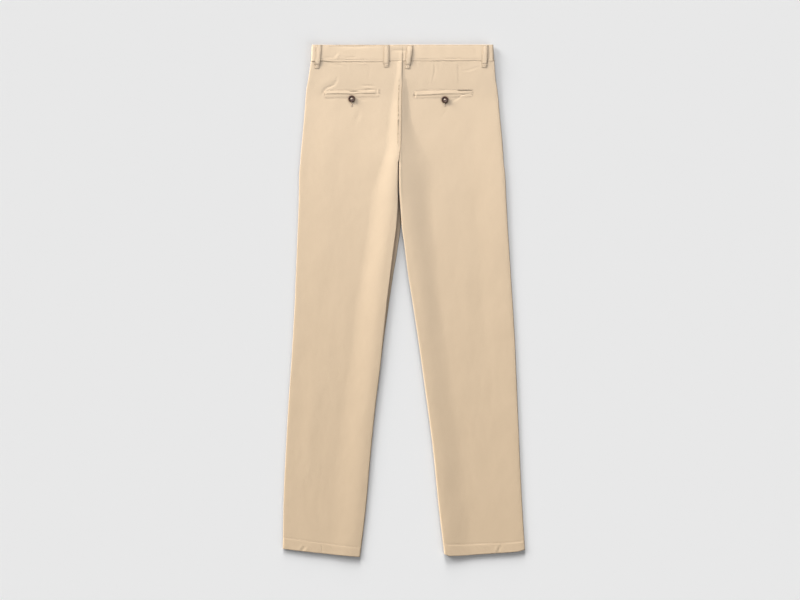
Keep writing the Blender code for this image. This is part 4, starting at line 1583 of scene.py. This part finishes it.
def speckle(tree, place, scale, detail, **more):
    """Noise from 0 to 1."""
    inputs = {"Scale": scale, "Detail": detail, "Vector": place, **more}
    return node(tree, "TexNoise", inputs, "Fac")


def painted_shade_in_hollows(tree, color):
    """Painted shade: the colour turns to a dark brown tone where ambient occlusion finds the cloth
    hollow.
    """
    openness = node(
        tree, "AmbientOcclusion", {"Distance": PAINTED_SHADE_REACH}, "AO", samples=PAINTED_SHADE_SAMPLES,
    )
    share = node(tree, "MapRange", {
        "From Min": PAINTED_SHADE_DEEP, "From Max": PAINTED_SHADE_NONE, "Value": openness,
    })
    return node(tree, "Mix", {0: share, 6: (*PAINTED_SHADE_TONE, 1.0), 7: color}, 2, data_type="RGBA")


def cotton(name, turn=0.0):
    """Garment-washed cotton twill, with painted shade in its hollows. turn is the warp's angle from
    the leg's length.
    """
    made, tree, shader = shader_of(name)
    place = node(tree, "TexCoord", {}, "Object")
    grain = node(tree, "Mapping", {"Rotation": (0.0, 0.0, turn), "Vector": place})
    ribs = node(tree, "Mapping", {"Rotation": (0.0, 0.0, TWILL_ANGLE), "Vector": grain})
    twill = node(tree, "TexWave", {
        "Scale": 430.0, "Distortion": 1.2, "Detail": 1.0, "Detail Scale": 2.0, "Vector": ribs,
    }, "Fac")
    yarn = node(tree, "Mapping", {"Scale": (900.0, 90.0, 900.0), "Vector": grain})
    slub = speckle(tree, yarn, 1.0, 2.0)
    cloud = speckle(tree, place, 16.0, 5.0, Roughness=0.6)
    fleck = speckle(tree, place, 220.0, 3.0, Roughness=0.7)

    def mix(a, b, share):
        """a and b, a share of b, as one number."""
        return node(tree, "Mix", {0: share, 2: a, 3: b})

    tone = mix(mix(mix(cloud, fleck, 0.35), slub, 0.2), twill, 0.12)
    color = ramp(tree, tone, (COTTON, COTTON_LIGHT), (0.25, 0.75))
    waves = node(tree, "Bump", {"Strength": 0.3, "Distance": 0.0012, "Height": cloud})
    fill(tree, shader, {
        # The base colour carries painted shade: it darkens to brown where ambient occlusion finds
        # hollows.
        "Base Color": painted_shade_in_hollows(tree, color),
        "Roughness": node(tree, "MapRange", {"To Min": 0.82, "To Max": 0.98, "Value": fleck}),
        "Specular IOR Level": 0.25,
        "Sheen Weight": 0.12,
        "Sheen Roughness": 0.45,
        "Sheen Tint": (1.0, 0.9, 0.78, 1.0),
        "Normal": node(tree, "Bump", {
            "Strength": 0.35, "Distance": 0.00012, "Height": mix(twill, slub, 0.4),
            "Normal": waves,
        }),
    })
    return made


def thread_finish():
    made, tree, shader = shader_of("sewing_thread")
    place = node(tree, "TexCoord", {}, "Object")
    ply = speckle(tree, place, 900.0, 1.0)
    fill(tree, shader, {
        "Base Color": ramp(tree, ply, ([c * 0.9 for c in THREAD], THREAD)),
        "Roughness": 0.6,
        "Sheen Weight": 0.2,
    })
    return made


def button_finish():
    """Dark horn: cloudy brown, polished."""
    made, tree, shader = shader_of("button_horn")
    place = node(tree, "TexCoord", {}, "Object")
    cloud = speckle(tree, place, 260.0, 4.0, Distortion=1.4)
    fill(tree, shader, {
        "Base Color": ramp(tree, cloud, (BUTTON_DARK, BUTTON_LIGHT), (0.35, 0.75)),
        "Roughness": node(tree, "MapRange", {"To Min": 0.45, "To Max": 0.6, "Value": cloud}),
        "Specular IOR Level": 0.3,
    })
    return made


def metal_finish():
    made, tree, shader = shader_of("zip_brass")
    place = node(tree, "TexCoord", {}, "Object")
    scuff = speckle(tree, place, 400.0, 3.0)
    fill(tree, shader, {
        "Base Color": (*BRASS, 1.0),
        "Roughness": node(tree, "MapRange", {"To Min": 0.25, "To Max": 0.5, "Value": scuff}),
        "Metallic": 1.0,
    })
    return made


def floor_finish():
    made, tree, shader = shader_of("studio_floor")
    fill(tree, shader, {
        "Base Color": (*FLOOR, 1.0), "Roughness": 1.0, "Specular IOR Level": 0.0,
    })
    return made


# --- Build -------------------------------------------------------------------------------------

legs = cotton("cotton_twill_legs")
crosswise = cotton("cotton_twill_crosswise", turn=math.pi / 2)
thread = thread_finish()
horn = button_finish()
brass = metal_finish()

panels = {}
for side in ("left", "right"):
    for front in (False, True):
        panels[side, front] = leg_panel(side, front, legs)
bands = {side: waistband(side, crosswise) for side in ("left", "right")}
for loop in LOOPS:
    strap, line = belt_loop(loop, legs)
    loop_sewing(loop, line, thread)
jets = [(pocket, jet(pocket, upper, crosswise)) for pocket in POCKETS for upper in (True, False)]
turn_ups = {side: turn_up(side, legs) for side in ("left", "right")}

for pocket in POCKETS:
    ground = face_at("back_" + pocket.side, pocket.button_x, pocket.button_down)
    button(
        f"button_{pocket.side}", f"pocket_{pocket.side}_button",
        (pocket.button_x, pocket.button_down, ground + SHANK), POCKET_BUTTON, 1, horn, thread,
    )
waist_x = SEAM_X + BAND_OVERLAP / 2
button(
    "button_waist", "waist_button", (waist_x, BAND_DEPTH / 2, BUTTON_THICK + GROUND_GAP),
    WAIST_BUTTON, -1, horn, thread,
)
zip_tapes = {side: zip_tape(sign, crosswise) for side, sign in (("left", -1), ("right", 1))}
zip_chain(brass)
zip_slider(brass)

band_sewing = {side: band_stitches(side, thread) for side in bands}
sewn = {}
for side, front in panels:
    lines = [hem_line(side, front)]
    name = "hem_stitch_" + panel_name(side, front)
    sewn[side, front] = [stitches(name, lines, -1 if front else 1, thread)]
for pocket in POCKETS:
    x = pocket.button_x + SLIT_ASIDE
    slit = [(x, SLIT_START + i * SLIT_PITCH) for i in range(SLIT_BARS)]
    sewn[pocket.side, False] += [
        pocket_stitches(pocket, thread),
        buttonhole("buttonhole_" + pocket.side, slit, "back_" + pocket.side, thread),
    ]
for side in ("left", "right"):
    sewn[side, True].append(front_stitches(side, thread))
slit_half = (SLIT_BARS - 1) * SLIT_PITCH / 2
slit = [(waist_x - slit_half + i * SLIT_PITCH, BAND_DEPTH / 2) for i in range(SLIT_BARS)]
buttonhole("buttonhole_waist", slit, None, thread)

# --- Floor, light and camera -------------------------------------------------------------------

scene = bpy.context.scene
floor_mesh = bpy.data.meshes.new("studio_floor")
signs = ((-1, -1), (1, -1), (1, 1), (-1, 1))
corners = [(a * FLOOR_HALF, b * FLOOR_HALF, FLOOR_HEIGHT) for a, b in signs]
floor_mesh.from_pydata(corners, [], [(0, 1, 2, 3)])
floor_mesh.materials.append(floor_finish())
floor = linked("studio_floor", floor_mesh)
floor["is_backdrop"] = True

scene.world = bpy.data.worlds.new("studio")
scene.world.use_nodes = True
background = scene.world.node_tree.nodes["Background"]
background.inputs["Color"].default_value = (1.0, 1.0, 1.0, 1.0)
background.inputs["Strength"].default_value = WORLD


def only_on(light, pieces):
    """Lets a light reach these objects alone. Everything still casts its shadows."""
    lit = bpy.data.collections.new("lit_by_" + light.name)
    scene.collection.children.link(lit)
    for piece in pieces:
        lit.objects.link(piece)
    light.light_linking.receiver_collection = lit


def lamp(name, kind, energy, towards, pieces, **settings):
    data = bpy.data.lights.new(name, kind)
    data.energy = energy
    for key, value in settings.items():
        setattr(data, key, value)
    made = linked(name, data)
    made.rotation_mode = "QUATERNION"
    made.rotation_quaternion = Vector(towards).to_track_quat("-Z", "Y")
    only_on(made, pieces)
    return made


cloth_pieces = list(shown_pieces())
for sun in SUNS:
    pieces = [floor] if sun.name.startswith("floor") else cloth_pieces
    lamp(sun.name, "SUN", sun.energy, sun.towards, pieces, angle=math.radians(sun.angle))
# A lamp above the waist, for the cloth alone, so that it dims towards the hems.
waist_lamp = lamp(
    "waist_lamp", "AREA", 8.6, (0.05, -0.65, -1.0), cloth_pieces,
    shape="DISK", size=0.7, color=(0.70, 0.80, 1.00),
)
waist_lamp.location = (-0.10, 0.95, 1.0)

camera_data = bpy.data.cameras.new("camera")
camera_data.sensor_width = SENSOR
camera_data.lens = LENS
camera = linked("camera", camera_data)
camera.location = (*CAMERA_AT, VIEW_WIDTH * LENS / SENSOR)
scene.camera = camera
scene.view_settings.view_transform = "Standard"
scene.view_settings.look = "None"
